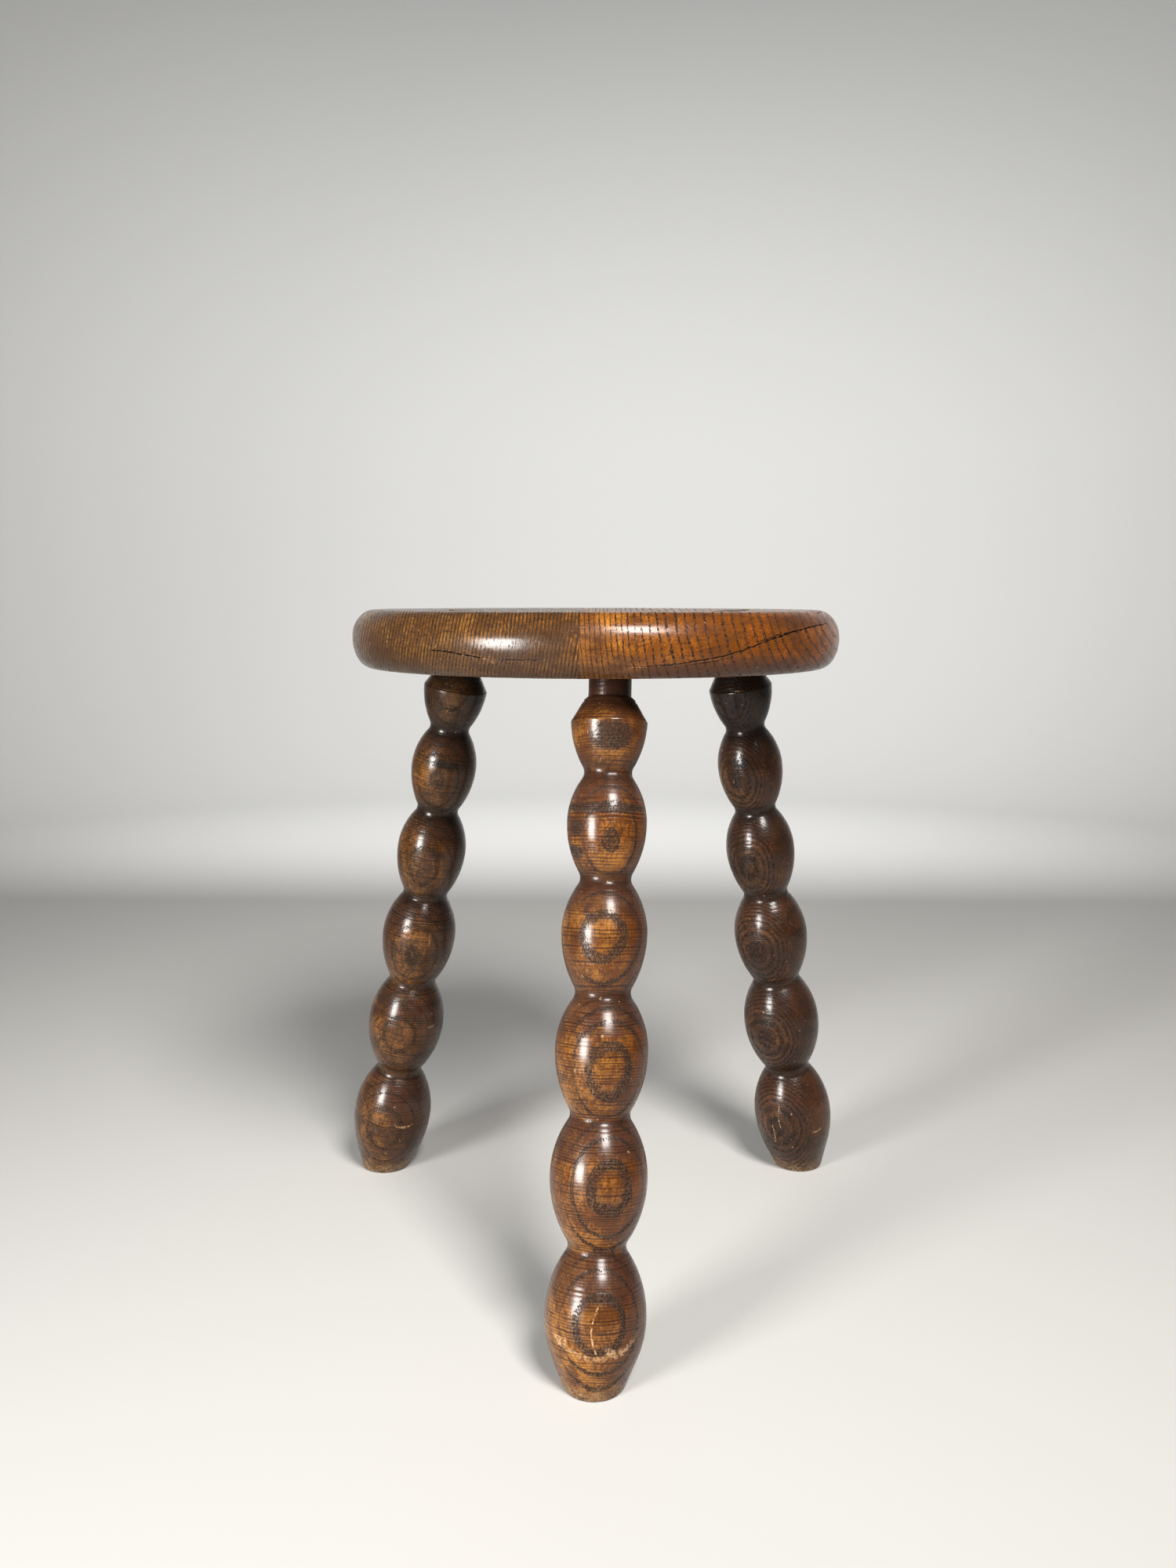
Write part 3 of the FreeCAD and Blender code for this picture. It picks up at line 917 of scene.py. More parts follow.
# On the legs the colour away from the window is painted shade; on the seat boards it is a second
# tone
# How each piece's oak lies and looks, in mm and degrees
# ring, sway, shift: how far apart the years are, how clouds bend them, and where those start
# pores: the size of a pore's cell across the years, round them and along the grain
# light, shade_and_tone, deep: the colours towards the window, away from it and in the clouds
# spring, dark, line: the colours of spring wood, of pores, and of tool marks and rays
# bands, dots, lines, rays, fibre, ribs, smoke, stain_and_shade: how strongly each shows
# blots: the angle and height of each dark blot's middle, and how far it reaches
# facing, pith: the side of a leg that the ovals face, and how far behind its axis the heart is
# head: the heights between which the stain deepens towards the seat; on the rear legs it reaches
# down over the cups as painted shadow of the seat
# beads: from the cup to the foot, how far the surface lies above a year's start, its tilt down
#   the leg, its turn, how broad the spring wood is, and by how many years the heart is nearer
# scratches, scuffs: strokes down the leg and round it, each with its middle and half its length,
#   its place across and how it bends there, half its width, and how pale it is
LEG_OAK = {
    "front": {
        "facing": -79, "pith": 56, "ring": 4.7, "sway": 1.1, "shift": (3.1, 0.7, 5.2),
        "pores": (0.7, 0.75, 1.4), "head": (-20, 10),
        "beads": ((-1.4, -0.10, -4.5, 0.02, 0), (-0.3, -0.16, -5.8, 0.28, 0),
                  (2.4, 0, -5.5, 0.32, 7), (2.3, -0.12, 0, 0.33, 0),
                  (2.5, 0, 3, 0.30, 0), (2.9, 0.06, -5.5, 0.30, 0)),
        "light": (0.30, 0.124, 0.023), "shade_and_tone": (0.15, 0.040, 0.003),
        "deep": (0.085, 0.027, 0.006), "spring": (0.042, 0.028, 0.020),
        "dark": (0.010, 0.006, 0.004), "line": (0.028, 0.010, 0.005),
        "bands": 0.66, "dots": 0.74, "lines": 1, "rays": 0.12, "fibre": 0.10, "ribs": 0,
        "smoke": 0.74, "stain_and_shade": 0,
        "blots": (((-86.5, -9.4), (37, 9.2)), ((-100, -50.5), (88, 3.2)),
                  ((-140, -62), (16, 5)), ((-150, -76), (22, 4))),
        "scratches": ((-338, 14, -94.5, 0.042, 0.9, 0.75), (-208, 7, -101, -0.02, 0.6, 0.25)),
        "scuffs": ((-90, 55, -353, 0.0036, 1.4, 0.45), (-64, 15, -351, 0.014, 2.2, 0.65),
                   (-133, 9, -346, 0.01, 2.2, 0.7))},
    "left": {
        "facing": -92, "pith": 50, "ring": 3.9, "sway": 1.6, "shift": (7.4, 2.2, 1.9),
        # The left leg's head reaches down over its cup: painted shadow of the seat
        "pores": (0.7, 0.75, 1.4), "head": (-34, -6),
        "beads": ((2.6, 0, 0, 0.25, 0), (0.4, -0.1, -2, 0.4, 0), (2.1, -0.10, -4, 0.25, 0),
                  (0.5, -0.1, 2, 0.4, 0), (2.4, 0, 0, 0.25, 0), (2.9, 0, -2, 0.25, 0)),
        "light": (0.23, 0.092, 0.019), "shade_and_tone": (0.082, 0.025, 0.005),
        "deep": (0.058, 0.021, 0.006), "spring": (0.020, 0.015, 0.012),
        "dark": (0.005, 0.004, 0.003), "line": (0.008, 0.005, 0.003),
        "bands": 0.32, "dots": 0.5, "lines": 0.9, "rays": 0.15, "fibre": 0.12, "ribs": 0,
        "smoke": 0.6, "stain_and_shade": 0.10,
        "blots": (((-84, -52), (34, 3)),),
        "scratches": ((-184, 5, -67.3, 0, 0.6, 0.4),),
        "scuffs": ((-66, 14, -337, 0.01, 0.9, 0.5), (-42, 7, -255, 0.02, 0.8, 0.4))},
    "right": {
        "facing": -122, "pith": 44, "ring": 1.55, "sway": 3.4, "shift": (1.3, 9.5, 4.4),
        # The right leg's head reaches down over its cup: painted shadow of the seat
        "pores": (0.6, 0.8, 3), "head": (-34, -6),
        "beads": ((0.9, -0.05, 0, 0.5, 0), (0.9, -0.05, -2, 0.5, 0), (0.8, -0.12, 0, 0.5, 0),
                  (0.9, -0.08, 0, 0.5, 0), (0.9, -0.06, -2, 0.5, 0), (0.8, 0, 0, 0.5, 0)),
        "light": (0.105, 0.042, 0.013), "shade_and_tone": (0.085, 0.028, 0.006),
        "deep": (0.028, 0.011, 0.004), "spring": (0.011, 0.007, 0.006),
        "dark": (0.005, 0.004, 0.003), "line": (0.008, 0.005, 0.004),
        "bands": 0.42, "dots": 0.55, "lines": 0.35, "rays": 0.2, "fibre": 0.15, "ribs": 1.6,
        "smoke": 0.4, "stain_and_shade": 0.05,
        "blots": (((-112, -50), (16, 5)),),
        "scratches": ((-330, 9, -118, 0.03, 0.8, 0.5), (-345, 8, -128, -0.03, 0.8, 0.5)),
        "scuffs": ((-100, 10, 1, 0, 0.5, 0.5), (-60, 9, -346, 0.01, 0.7, 0.4))},
}

# heart, side: where the tree's middle lies along X and Z, and on which side of it the board is
# lean, crowd: how the years slant along the grain, and how they close up at the joint
# open, second_tone_reach: how open the pores are, and where along X the second tone takes over
BOARD_OAK = {
    "left": {
        "heart": (-400, 470), "side": 1, "lean": 0.02, "crowd": 0, "band": 0.45, "ring": 2.05,
        "sway": 5, "shift": (2.6, 6.1, 0.4), "pores": (0.7, 1.3, 8), "open": 0.7,
        "second_tone_reach": (-110, -20),
        "light": (0.18, 0.082, 0.017), "shade_and_tone": (0.24, 0.094, 0.017),
        "deep": (0.070, 0.027, 0.006), "spring": (0.030, 0.016, 0.008),
        "dark": (0.010, 0.006, 0.004), "line": (0.034, 0.016, 0.007),
        "bands": 0.95, "dots": 0.8, "lines": 0.7, "rays": 0.2, "fibre": 0.12, "ribs": 0.15,
        "blots": (((-25, 409.5), (15, 7.5)), ((-55, 404), (16, 9)), ((-11, 414), (7, 12)),
                  ((-80, 415), (22, 14)))},
    "right": {
        "heart": (176, 446), "side": -1, "lean": -0.03, "crowd": 0.012, "band": 0.32,
        "ring": 5.3, "sway": 5, "shift": (8.8, 3.3, 7.7), "pores": (1.15, 2.1, 9), "open": 1,
        "second_tone_reach": (0, 85),
        "light": (0.33, 0.128, 0.016), "shade_and_tone": (0.29, 0.074, 0.004),
        "deep": (0.115, 0.034, 0.004), "spring": (0.070, 0.026, 0.009),
        "dark": (0.010, 0.006, 0.004), "line": (0.048, 0.017, 0.006),
        "bands": 0.72, "dots": 0.9, "lines": 0.6, "rays": 0.35, "fibre": 0.15, "ribs": 0.1,
        "blots": (((1.5, 407.5), (7, 7)), ((-2, 417), (4.5, 15)), ((22, 401.5), (16, 4.5)),
                  ((52, 428), (16, 4)), ((38, 404), (12, 5)))},
}
WEDGE_OAK = {
    "ring": 1.7, "band": 0.45, "sway": 2, "shift": (4.4, 1.2, 8.3), "pores": (0.7, 0.9, 5),
    "light": (0.28, 0.13, 0.035), "shade_and_tone": (0.28, 0.13, 0.035), "deep": (0.11, 0.045, 0.012),
    "spring": (0.09, 0.045, 0.02), "dark": (0.02, 0.013, 0.01), "line": (0.06, 0.03, 0.015),
    "bands": 0.7, "dots": 0.9, "lines": 0.3, "rays": 0.3, "fibre": 0.2, "ribs": 0.2}

# What most pieces have in place of blots, shade and smoke: years and pores in full
EVEN = {"blot": 0.0, "shade_and_tone": 0.0, "smoke": 0.0, "show": 1.0, "open": 1.0}

# The varnish
COAT_WEIGHT = 0.44
COAT_LOSS_IN_PORES = 0.38
COAT_ROUGHNESS = 0.2
COAT_IOR = 1.5
OAK_IOR = 1.45
OAK_SPECULAR = 0.12
RELIEF_HEIGHT = 0.18 * MM

# Where the stain and the wear lie on a leg, in mm from its axis and above the floor
COVE_RADII = (13.5, 20.5)
SHOULDER_HEIGHTS = (6, 20)
WORN_FOOT_HEIGHTS = (1, 12)
HIDDEN_TENON_HEIGHTS = (405, 425)
LATHE_PITCH = 1.7

# And on the seat, where the darkened low edge is painted shade
UNDERSIDE_HEIGHTS = (397.4, 398.6)
PAINTED_SHADE_LOW_EDGE_HEIGHTS = (398.5, 408)
POLISH_HEIGHTS = (424, 430)
POLISH_RADII = (60, 132)
GLUE_WIDTHS = (0.08, 0.3)
CROWDED_FROM_X = 38
MEAN_RING_RADIUS = 150

# How ragged blots end, and how far from a neck one bead's grain gives way to the next's
BLOT_EDGE = (0.55, 1.25)
NECK_BLEND = 4

# The viewpoint, and the backdrop's shape as shares of its radius or of its cove
CAMERA_PLACE = Vector((0, -852.39, 441.57)) * MM
CAMERA_ANGLES = (8.351, -0.327, 0.086)
FOCAL_PIXELS = 1618
LONG_SIDE_PIXELS = 2000
SENSOR_WIDTH = 36
BACKDROP_COVE_SHARE = 0.3
BACKDROP_WALL_SHARE = 0.75
BACKDROP_STEP_SHARE = 0.12


def blot_over(recipe, place, ragged, blots):
    """Dark blots on the surface: 1 within reach of their middles, with ragged edges."""
    masks = []
    for middle, reach in blots:
        far = ragged
        for value, center, size in zip(place, middle, reach):
            off = (value - center) / size
            far = far + off * off
        masks.append(1 - recipe.ease(far, *BLOT_EDGE))
    return recipe.highest(*masks)


def oak(recipe, finish, look, place, grain, masks):
    """Finishes a material: the oak's colour, roughness, coat and relief.

    place is the point, and grain the same as the tree saw it: across the years' rings, round
    them and along the trunk. masks holds what the stain, the tools and the wear did to it, and
    the painted shade: the legs' side away from the window lamp, the seat's shadow painted on
    the rear legs' heads, and the seat's darkened low edge.
    """
    across, around, along = grain
    first, second, third = look["shift"]

    broad = recipe.cloud(place, (38, 38, 46), look["shift"])
    cloud = recipe.cloud(place, (11, 11, 13), (third, first, 0), 3.0, 0.6)
    ripple = recipe.cloud(grain, (7, 9, 30), (second, 0, first), 1.0)
    fray = recipe.cloud(place, (1.8, 1.8, 1.8), (0, 0, third))
    rings = across + (broad - 0.5) * look["sway"] + (ripple - 0.5) * look["ring"] * 0.3
    rings = rings + (fray - 0.5) * 0.5
    years = rings / look["ring"]
    season = recipe.math("FRACT", years)
    band = masks["band"] * (0.8 + recipe.lot(years) * 0.4)
    spring = (1 - recipe.ease(season, band * 0.75, band * 1.2)) * recipe.ease(season, 0.0, 0.05)
    spring = spring * masks["show"]
    porous = recipe.highest(spring, masks["blot"])
    banded = recipe.highest(spring * look["bands"], masks["blot"])

    reach = 0.04 + porous * (0.22 + cloud * 0.36) * masks["open"]
    pores = 1 - recipe.ease(
        recipe.cells((rings, around, along), look["pores"]), reach, reach + 0.12)
    rays = recipe.flecks(
        (0.52, 0.64), (around, rings, along), (0.9, 14, 7), (0, 0, third), 1.0)
    fibre = recipe.flecks((0.34, 0.66), (around, rings, along), (0.8, 0.8, 14))
    fleck = recipe.flecks((0.38, 0.62), grain, (1.3, 1.3, 2.4), (0, 0, second), 2.0, 0.65)
    smear = recipe.flecks((0.35, 0.65), place, (6, 6, 7), (first, second, 0), 3.0)

    tone = recipe.ease(
        broad * 0.85 + cloud * 0.85 + fibre * look["fibre"] + fleck * 0.18 - season * 0.05,
        0.84, 1.32)
    # The second colour: painted shade on the legs' side away from the window lamp, a second tone
    # on the seat
    color = recipe.mix(tone, look["deep"], recipe.mix(masks["shade_and_tone"], look["light"], look["shade_and_tone"]))
    for share, layer in (
            (masks["smoke"], finish.smoke),
            (rays * (0.25 + fleck * 0.35) * look["rays"], look["line"]),
            (banded, look["spring"]),
            (masks["lines"] * look["lines"], look["line"]),
            (pores * look["dots"], look["dark"]),
            # Stain, and painted shade where the mask carries it: the seat's shadow on the rear
            # legs' heads and the seat's low edge
            (masks["stain_and_shade"], look["line"]),
            (masks["wear"] * (1 - pores * 0.6), finish.bare),
            (masks["marks"], finish.dust),
            (masks["black"], finish.grime)):
        color = recipe.mix(share, color, layer)

    rough = (finish.gloss_roughness + pores * 0.20 + masks["wear"] * 0.25 + masks["black"] * 0.25
             + (smear - 0.5) * 0.14 + (fleck - 0.5) * 0.10)
    coat = ((COAT_WEIGHT - pores * COAT_LOSS_IN_PORES)
            * (1 - masks["wear"] * 0.85) * (1 - masks["black"] * 0.8))
    ribs = spring * (0.10 + look["ribs"] * 1.3)
    relief = fibre * 0.14 + fleck * 0.16 - pores * 0.80 - ribs - rays * 0.10 + masks["ridges"]
    normal = recipe.node(
        "ShaderNodeBump", {}, {"Height": relief, "Strength": 1.0, "Distance": RELIEF_HEIGHT})
    return recipe.surface({
        "Base Color": color, "Roughness": rough, "Coat Weight": coat, "Normal": normal,
        "Coat Roughness": COAT_ROUGHNESS, "Coat IOR": COAT_IOR, "IOR": OAK_IOR,
        "Specular IOR Level": OAK_SPECULAR})


def strokes(recipe, run, off, ragged, marks):
    """Pale bent strokes: run is the place along them, off the place across, and ragged a noise
    about zero that frays and breaks them."""
    whole = recipe.ease(ragged, 0.14, -0.10)
    drawn = []
    for middle, reach, place, bend, width, pale in marks:
        along = run - middle
        across = recipe.math("ABSOLUTE", off - place - along * along * bend)
        body = 1 - recipe.ease(across + ragged * width * 2.4, width * 0.4, width * 1.3)
        ends = 1 - recipe.ease(recipe.math("ABSOLUTE", along), reach * 0.8, reach * 1.1)
        drawn.append(body * ends * whole * pale)
    return recipe.highest(*drawn)


def by_bead(recipe, height, necks, values):
    """A value that changes from bead to bead, in the necks between them."""
    total = values[0]
    for neck, above, below in zip(necks, values, values[1:]):
        if above != below:
            under = 1 - recipe.ease(height, neck - NECK_BLEND, neck + NECK_BLEND)
            total = total + under * (below - above)
    return total


def leg_grain(recipe, sizes, look, place, necks, widest):
    """A leg's grain, and how broad its spring wood is.

    Each bead's outermost ring is set so that its ovals come where they do on this leg.
    """
    x, y, z = place
    radii = [sizes.cup_radius / MM, *(sizes.first_bead_radius * share / MM
                                      for share in (*BEAD_RADIUS_SHARES, FOOT_RADIUS_SHARE))]
    whole_years = math.ceil((radii[0] + look["pith"]) / look["ring"]) * look["ring"]
    starts = []
    for (depth, tilt, turn, band, nearer), radius, middle in zip(look["beads"], radii, widest):
        heart = whole_years - nearer * look["ring"] + depth - radius
        starts.append(math.sqrt(heart ** 2 - turn ** 2) - look["pith"] - tilt * middle)
    depths, tilts, turns, bands, nearer_years = zip(*look["beads"])
    out = x + look["pith"] + by_bead(recipe, z, necks, starts)
    out = out + by_bead(recipe, z, necks, tilts) * z
    side = y + by_bead(recipe, z, necks, turns)
    around = recipe.math("ARCTAN2", side, out) * look["pith"]
    return (recipe.length(out, side), around, z), by_bead(recipe, z, necks, bands)


def lathe_lines(recipe, place, shift):
    """The lathe's lines: uneven in pitch and strength, and broken where they were smoothed."""
    first, second, third = shift
    z = place[2]
    wobble = recipe.cloud(place, (26, 26, 30), (0, 0, third)) * 1.6
    uneven = recipe.waves(z, 9, first * 10, 1.0) * 2.4
    turns_down = z / LATHE_PITCH + uneven + wobble
    groove = recipe.math("ABSOLUTE", recipe.math("FRACT", turns_down) - 0.5)
    patchy = recipe.flecks((0.30, 0.54), place, (13, 13, 5), (0, third, 0))
    lines = (1 - recipe.ease(groove, 0.06, 0.42)) * (0.25 + recipe.lot(turns_down) * 0.75)
    return lines * (0.30 + patchy * 0.70)


def leg_material(sizes, finish, name):
    """Turned oak: grain along the leg, stain held in the coves, bare wood at the foot."""
    look = LEG_OAK[name]
    first, second, third = look["shift"]
    leg_line = math.hypot(
        sizes.seat_underside, sizes.foot_circle_radius - sizes.socket_circle_radius) / MM
    necks = [-share * leg_line for share in NECK_PLACE_SHARES]
    widest = [0.0, *(above + (below - above) * BEAD_WIDEST_SHARE
                     for above, below in zip(necks, necks[1:])), -FOOT_PLACE_SHARE * leg_line]

    recipe = Recipe("stained_leg_oak_" + name)
    floor_height = recipe.in_frame(Matrix())[2]
    facing = Matrix.Rotation(math.radians(look["facing"]), 4, "Z")
    place = recipe.in_frame(leg_frame(sizes, name).matrix @ facing)
    x, y, z = place
    grain, band = leg_grain(recipe, sizes, look, place, necks, widest)
    lines = lathe_lines(recipe, place, look["shift"])
    radius = recipe.length(x, y)
    angle = recipe.degrees(y, x) + look["facing"]

    grime = recipe.cloud(place, (8, 8, 8), (0, 0, second), 4.0, 0.6)
    uneven = grime - 0.5
    ragged = recipe.cloud(place, (1.6, 1.6, 1.6)) - 0.5
    coarse = recipe.waves(z, 2.4, second * 10, 2.0)
    hidden = recipe.ease(floor_height, *HIDDEN_TENON_HEIGHTS)
    cove = 1 - recipe.ease(radius + uneven * 10, *COVE_RADII)
    shoulder = recipe.flecks((0.50, 0.66), place, (24, 24, 16), (0, first, 0))
    over_bead = z - by_bead(recipe, z, necks, widest)
    smoke = recipe.ease(over_bead + uneven * 22, *SHOULDER_HEIGHTS) * look["smoke"]
    # Darker towards the seat: stain by the tenon, and on the rear legs painted shadow of the seat
    # over the cups
    stain_and_shade = cove * 0.70 + recipe.ease(z + uneven * 9, *look["head"]) * 0.55 + shoulder * 0.30
    stain_and_shade = stain_and_shade + recipe.ease(grime, 0.52, 0.66) * 0.30 + look["stain_and_shade"]
    worn = 1 - recipe.ease(floor_height + uneven * 22, *WORN_FOOT_HEIGHTS)
    nicks = recipe.flecks((0.69, 0.73), place, (3.5, 3.5, 3.5), (0, 0, first), 4.0, 0.6)
    return oak(recipe, finish, look, place, grain, {
        **EVEN,
        "band": band,
        "show": 0.35 + recipe.ease(x / radius, 0.45, 0.85) * 0.65,
        "blot": blot_over(recipe, (angle, z), ragged * 1.2, look["blots"]) * 0.9,
        "lines": lines * (1 - hidden),
        # Painted shade: the side of the leg turned from the window lamp takes the darker second
        # colour
        "shade_and_tone": recipe.ease(y + uneven * 20, -4, 20),
        "stain_and_shade": recipe.math("MINIMUM", stain_and_shade * (1 - hidden * 0.75), 0.9),
        "smoke": smoke * (1 - hidden),
        "wear": worn * (0.15 + recipe.ease(ragged, -0.2, 0.2) * 0.5),
        "marks": recipe.highest(
            nicks * 0.5, strokes(recipe, z, angle, ragged, look["scratches"]),
            strokes(recipe, angle, z, ragged, look["scuffs"])),
        "black": cove * recipe.ease(grime, 0.42, 0.6) * 0.5,
        "ridges": coarse * 0.6 - lines * 0.7,
    })


def board_material(sizes, finish, side):
    """Seat oak: end grain at the front and back, long grain at the sides and on top."""
    look = BOARD_OAK[side]
    first, second, third = look["shift"]
    recipe = Recipe("stained_seat_oak_" + side)
    place = recipe.in_frame(Matrix())
    x, y, z = place
    out = (x - look["heart"][0] + y * look["lean"]) * look["side"]
    rise = z - look["heart"][1]
    near_joint = recipe.math("MAXIMUM", CROWDED_FROM_X - x, 0.0)
    across = recipe.length(out, rise) + near_joint * near_joint * look["crowd"]
    around = recipe.math("ARCTAN2", rise, out) * MEAN_RING_RADIUS

    grime = recipe.cloud(place, (15, 15, 8), (first, 0, second), 4.0, 0.62)
    uneven = grime - 0.5
    ragged = uneven * 2.6
    # Painted shade: the lower part of the seat's edge, which faces the floor, is darkened
    painted_shade_low_edge = 1 - recipe.ease(z + uneven * 9, *PAINTED_SHADE_LOW_EDGE_HEIGHTS)
    blotch = recipe.ease(grime, 0.50, 0.66)
    underside = 1 - recipe.ease(z, *UNDERSIDE_HEIGHTS)
    polish = recipe.ease(z, *POLISH_HEIGHTS) * (1 - recipe.ease(
        recipe.length(x, y) + uneven * 60, *POLISH_RADII))
    glue = 1 - recipe.ease(recipe.math("ABSOLUTE", x - sizes.joint_x / MM), *GLUE_WIDTHS)
    crack = recipe.node("ShaderNodeAttribute", {"attribute_name": "crack"}, {}, "Fac")
    checks = recipe.flecks((0.58, 0.68), place, (7, 7, 0.8), (third, 0, 0), 1.0)
    nicks = recipe.flecks((0.70, 0.74), place, (5, 5, 5), (0, 0, first), 4.0, 0.6)
    turn = recipe.degrees(x, y * -1)
    # The low edge term is painted shade; the rest darkens blotches, the underside and the blots
    stain_and_shade = painted_shade_low_edge * 0.66 + blotch * 0.38 + underside * 0.35
    stain_and_shade = stain_and_shade + blot_over(recipe, (turn, z), ragged, look["blots"]) * 0.5
    return oak(recipe, finish, look, place, (across, around, y), {
        **EVEN,
        "band": look["band"],
        "open": look["open"] - recipe.ease(x + ragged * 14, 20, 110) * 0.3,
        "lines": checks * (1 - underside),
        # On the seat the second colour is a tone that takes over along X
        "shade_and_tone": recipe.ease(x + ragged * 18, *look["second_tone_reach"]),
        "stain_and_shade": recipe.math("MINIMUM", stain_and_shade, 0.86),
        "smoke": blotch * 0.25,
        "wear": polish * 0.28 + underside * 0.2,
        "marks": nicks * 0.25,
        "black": recipe.highest(glue * 0.35, recipe.ease(crack, 0.15, 0.7)),
        "ridges": grime * 0.25 - checks * 0.3,
    })


def wedge_material(finish):
    """The wedges' lighter oak, with the end grain showing across the tenon."""
    recipe = Recipe("stained_wedge_oak")
    place = recipe.in_frame(Matrix())
    x, y, z = place
    grime = recipe.cloud(place, (7, 7, 7), detail=3.0)
    return oak(recipe, finish, WEDGE_OAK, place, (y + x * 0.15, x, z), {
        **EVEN,
        "band": WEDGE_OAK["band"],
        "lines": recipe.ease(grime, 0.5, 0.6),
        "stain_and_shade": recipe.ease(grime, 0.4, 0.7) * 0.5,
        "wear": 0.7 - recipe.ease(grime, 0.3, 0.75) * 0.6,
        "marks": grime * 0.1,
        "black": grime * 0.1,
        "ridges": grime * 0.3,
    })


def paper_material(color):
    """The backdrop's matt paper."""
    return Recipe("backdrop_paper").surface({
        "Base Color": (*color, 1.0), "Roughness": 0.9, "Specular IOR Level": 0.2})


def make_backdrop(stage):
    """A round floor that curves up into a low wall on every side."""
    shape = bmesh.new()
    cove = stage.radius * BACKDROP_COVE_SHARE
    foot = stage.radius - cove
    tip = shape.verts.new((0, 0, 0))
    tip = carry_line(shape, tip, in_profile(foot, 0), stage.radius)
    tip = carry_arc(shape, tip, in_profile(foot, cove), in_profile(stage.radius, cove),
                    cove * BACKDROP_STEP_SHARE)
    carry_line(shape, tip, in_profile(stage.radius, stage.radius * BACKDROP_WALL_SHARE),
               stage.radius)
    turn_round(shape, stage.smoothness)
    backdrop = placed("round_backdrop", smooth_mesh("round_backdrop", shape))
    backdrop.data.materials.append(paper_material(stage.backdrop))


def add_lamp(name, power, place, size, spread, tint, aim):
    """An area lamp at a turn from the front, a rise and a distance from what it shines at.

    spread is the angle that its light fans out over, as through the grid of a soft box."""
    data = bpy.data.lights.new(name, "AREA")
    data.shape = "RECTANGLE"
    data.size, data.size_y = size
    data.energy = power
    data.spread = math.radians(spread)
    data.color = tint
    lamp = placed(name, data)
    turn, rise = (math.radians(angle) for angle in place[:2])
    toward = Vector((math.sin(turn) * math.cos(rise), -math.cos(turn) * math.cos(rise),
                     math.sin(rise)))
    lamp.location = Vector(aim) + toward * place[2]
    lamp.rotation_euler = toward.to_track_quat("Z", "Y").to_euler()
    lamp.visible_camera = False


def make_camera():
    """The photograph's viewpoint, with the long side of the picture upright."""
    data = bpy.data.cameras.new("viewpoint")
    data.sensor_width = SENSOR_WIDTH
    data.lens = FOCAL_PIXELS * SENSOR_WIDTH / LONG_SIDE_PIXELS
    camera = placed("viewpoint", data)
    pitch, yaw, roll = (math.radians(angle) for angle in CAMERA_ANGLES)
    forward = Vector((math.sin(yaw) * math.cos(pitch), math.cos(yaw) * math.cos(pitch),
                      -math.sin(pitch)))
    level = Vector((math.cos(yaw), -math.sin(yaw), 0))
    above = level.cross(forward)
    right = level * math.cos(roll) + above * math.sin(roll)
    upward = above * math.cos(roll) - level * math.sin(roll)
    view = Matrix((right, upward, -forward)).transposed().to_4x4()
    view.translation = CAMERA_PLACE
    camera.matrix_world = view
    bpy.context.scene.camera = camera


def light_the_room(stage):
    scene = bpy.context.scene
    scene.view_settings.view_transform = "Standard"
    world = bpy.data.worlds.new("soft_sky")
    world.use_nodes = True
    background = world.node_tree.nodes["Background"]
    background.inputs["Color"].default_value = (1.0, 1.0, 1.0, 1.0)
    background.inputs["Strength"].default_value = stage.sky_strength
    scene.world = world
    stool = (0, 0, 0.25)
    add_lamp("window_lamp", stage.window_power, (-42, 7, 1.7), (0.48, 0.62), 80,
             (1.0, 0.985, 0.95), stool)
    add_lamp("ceiling_lamp", stage.ceiling_power, (22, 45, 1.9), (0.56, 0.60), 110,
             (1.0, 0.96, 0.92), stool)
    add_lamp("backdrop_lamp", stage.paper_power, (0, 8, 1.7), (1.7, 1.1), 180,
             (1.0, 1.0, 1.0), (0, stage.radius, 0.8))


class STOOL_OT_seat(bpy.types.Operator):
    """Model the seat's two boards and finish them"""

    bl_idname = "stool.seat"
    bl_label = "Seat Boards"

    def execute(self, context):
        sizes = context.scene.stool_sizes
        for side in ("left", "right"):
            board = make_board(sizes, side)
            board.data.materials.append(board_material(sizes, context.scene.stool_finish, side))
        return {"FINISHED"}


class STOOL_OT_legs(bpy.types.Operator):
    """Turn the three legs, set them in the seat and finish them"""

    bl_idname = "stool.legs"
    bl_label = "Turned Legs"

    def execute(self, context):
        sizes = context.scene.stool_sizes
        for name in LEGS:
            leg = make_leg(sizes, name)
            leg.data.materials.append(leg_material(sizes, context.scene.stool_finish, name))
        return {"FINISHED"}


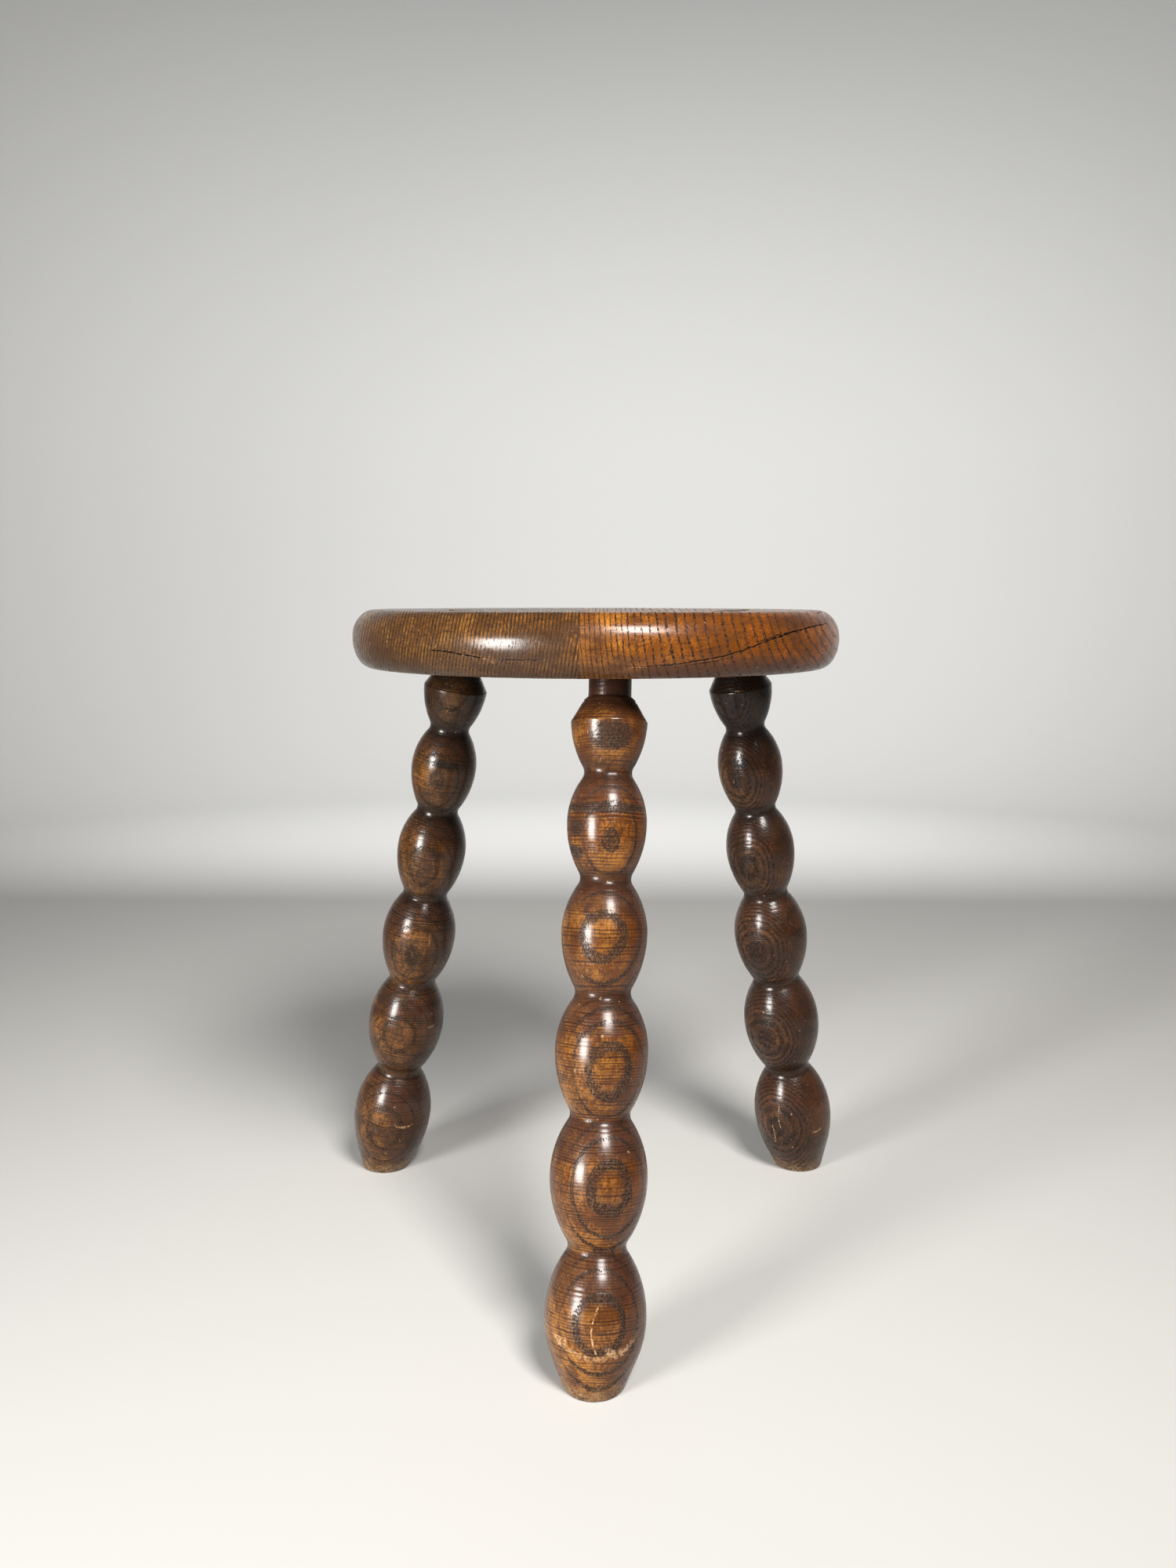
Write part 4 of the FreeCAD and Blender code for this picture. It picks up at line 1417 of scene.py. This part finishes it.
class STOOL_OT_wedges(bpy.types.Operator):
    """Drive a wedge into each leg's tenon"""

    bl_idname = "stool.wedges"
    bl_label = "Wedges"

    def execute(self, context):
        sizes = context.scene.stool_sizes
        material = wedge_material(context.scene.stool_finish)
        for name in LEGS:
            wedge = make_wedge(sizes, name)
            wedge.data.materials.append(material)
        return {"FINISHED"}


class STOOL_OT_stage(bpy.types.Operator):
    """Set up the floor, the backdrop, the lamps and the camera"""

    bl_idname = "stool.stage"
    bl_label = "Stage"

    def execute(self, context):
        stage = context.scene.stool_stage
        make_backdrop(stage)
        light_the_room(stage)
        make_camera()
        return {"FINISHED"}


class STOOL_PT_sidebar(bpy.types.Panel):
    """Lists the stool's pieces and their settings"""

    bl_idname = "STOOL_PT_sidebar"
    bl_label = "Staked Stool"
    bl_space_type = "VIEW_3D"
    bl_region_type = "UI"
    bl_category = "Stool"

    def draw(self, context):
        for operator in PIECE_OPERATORS:
            self.layout.operator(operator.bl_idname)
        for group in (context.scene.stool_sizes, context.scene.stool_finish,
                      context.scene.stool_stage):
            box = self.layout.box()
            for key in group.bl_rna.properties.keys():
                if key not in ("rna_type", "name"):
                    box.prop(group, key)


PIECE_OPERATORS = (STOOL_OT_stage, STOOL_OT_seat, STOOL_OT_legs, STOOL_OT_wedges)
CLASSES = (StoolSizes, StoolFinish, StoolStage, *PIECE_OPERATORS, STOOL_PT_sidebar)


def register():
    for kind in CLASSES:
        bpy.utils.register_class(kind)
    bpy.types.Scene.stool_sizes = PointerProperty(type=StoolSizes)
    bpy.types.Scene.stool_finish = PointerProperty(type=StoolFinish)
    bpy.types.Scene.stool_stage = PointerProperty(type=StoolStage)


def unregister():
    del bpy.types.Scene.stool_stage
    del bpy.types.Scene.stool_finish
    del bpy.types.Scene.stool_sizes
    for kind in reversed(CLASSES):
        bpy.utils.unregister_class(kind)


def main():
    register()
    bpy.ops.stool.stage()
    bpy.ops.stool.seat()
    bpy.ops.stool.legs()
    bpy.ops.stool.wedges()


if __name__ == "__main__":
    main()
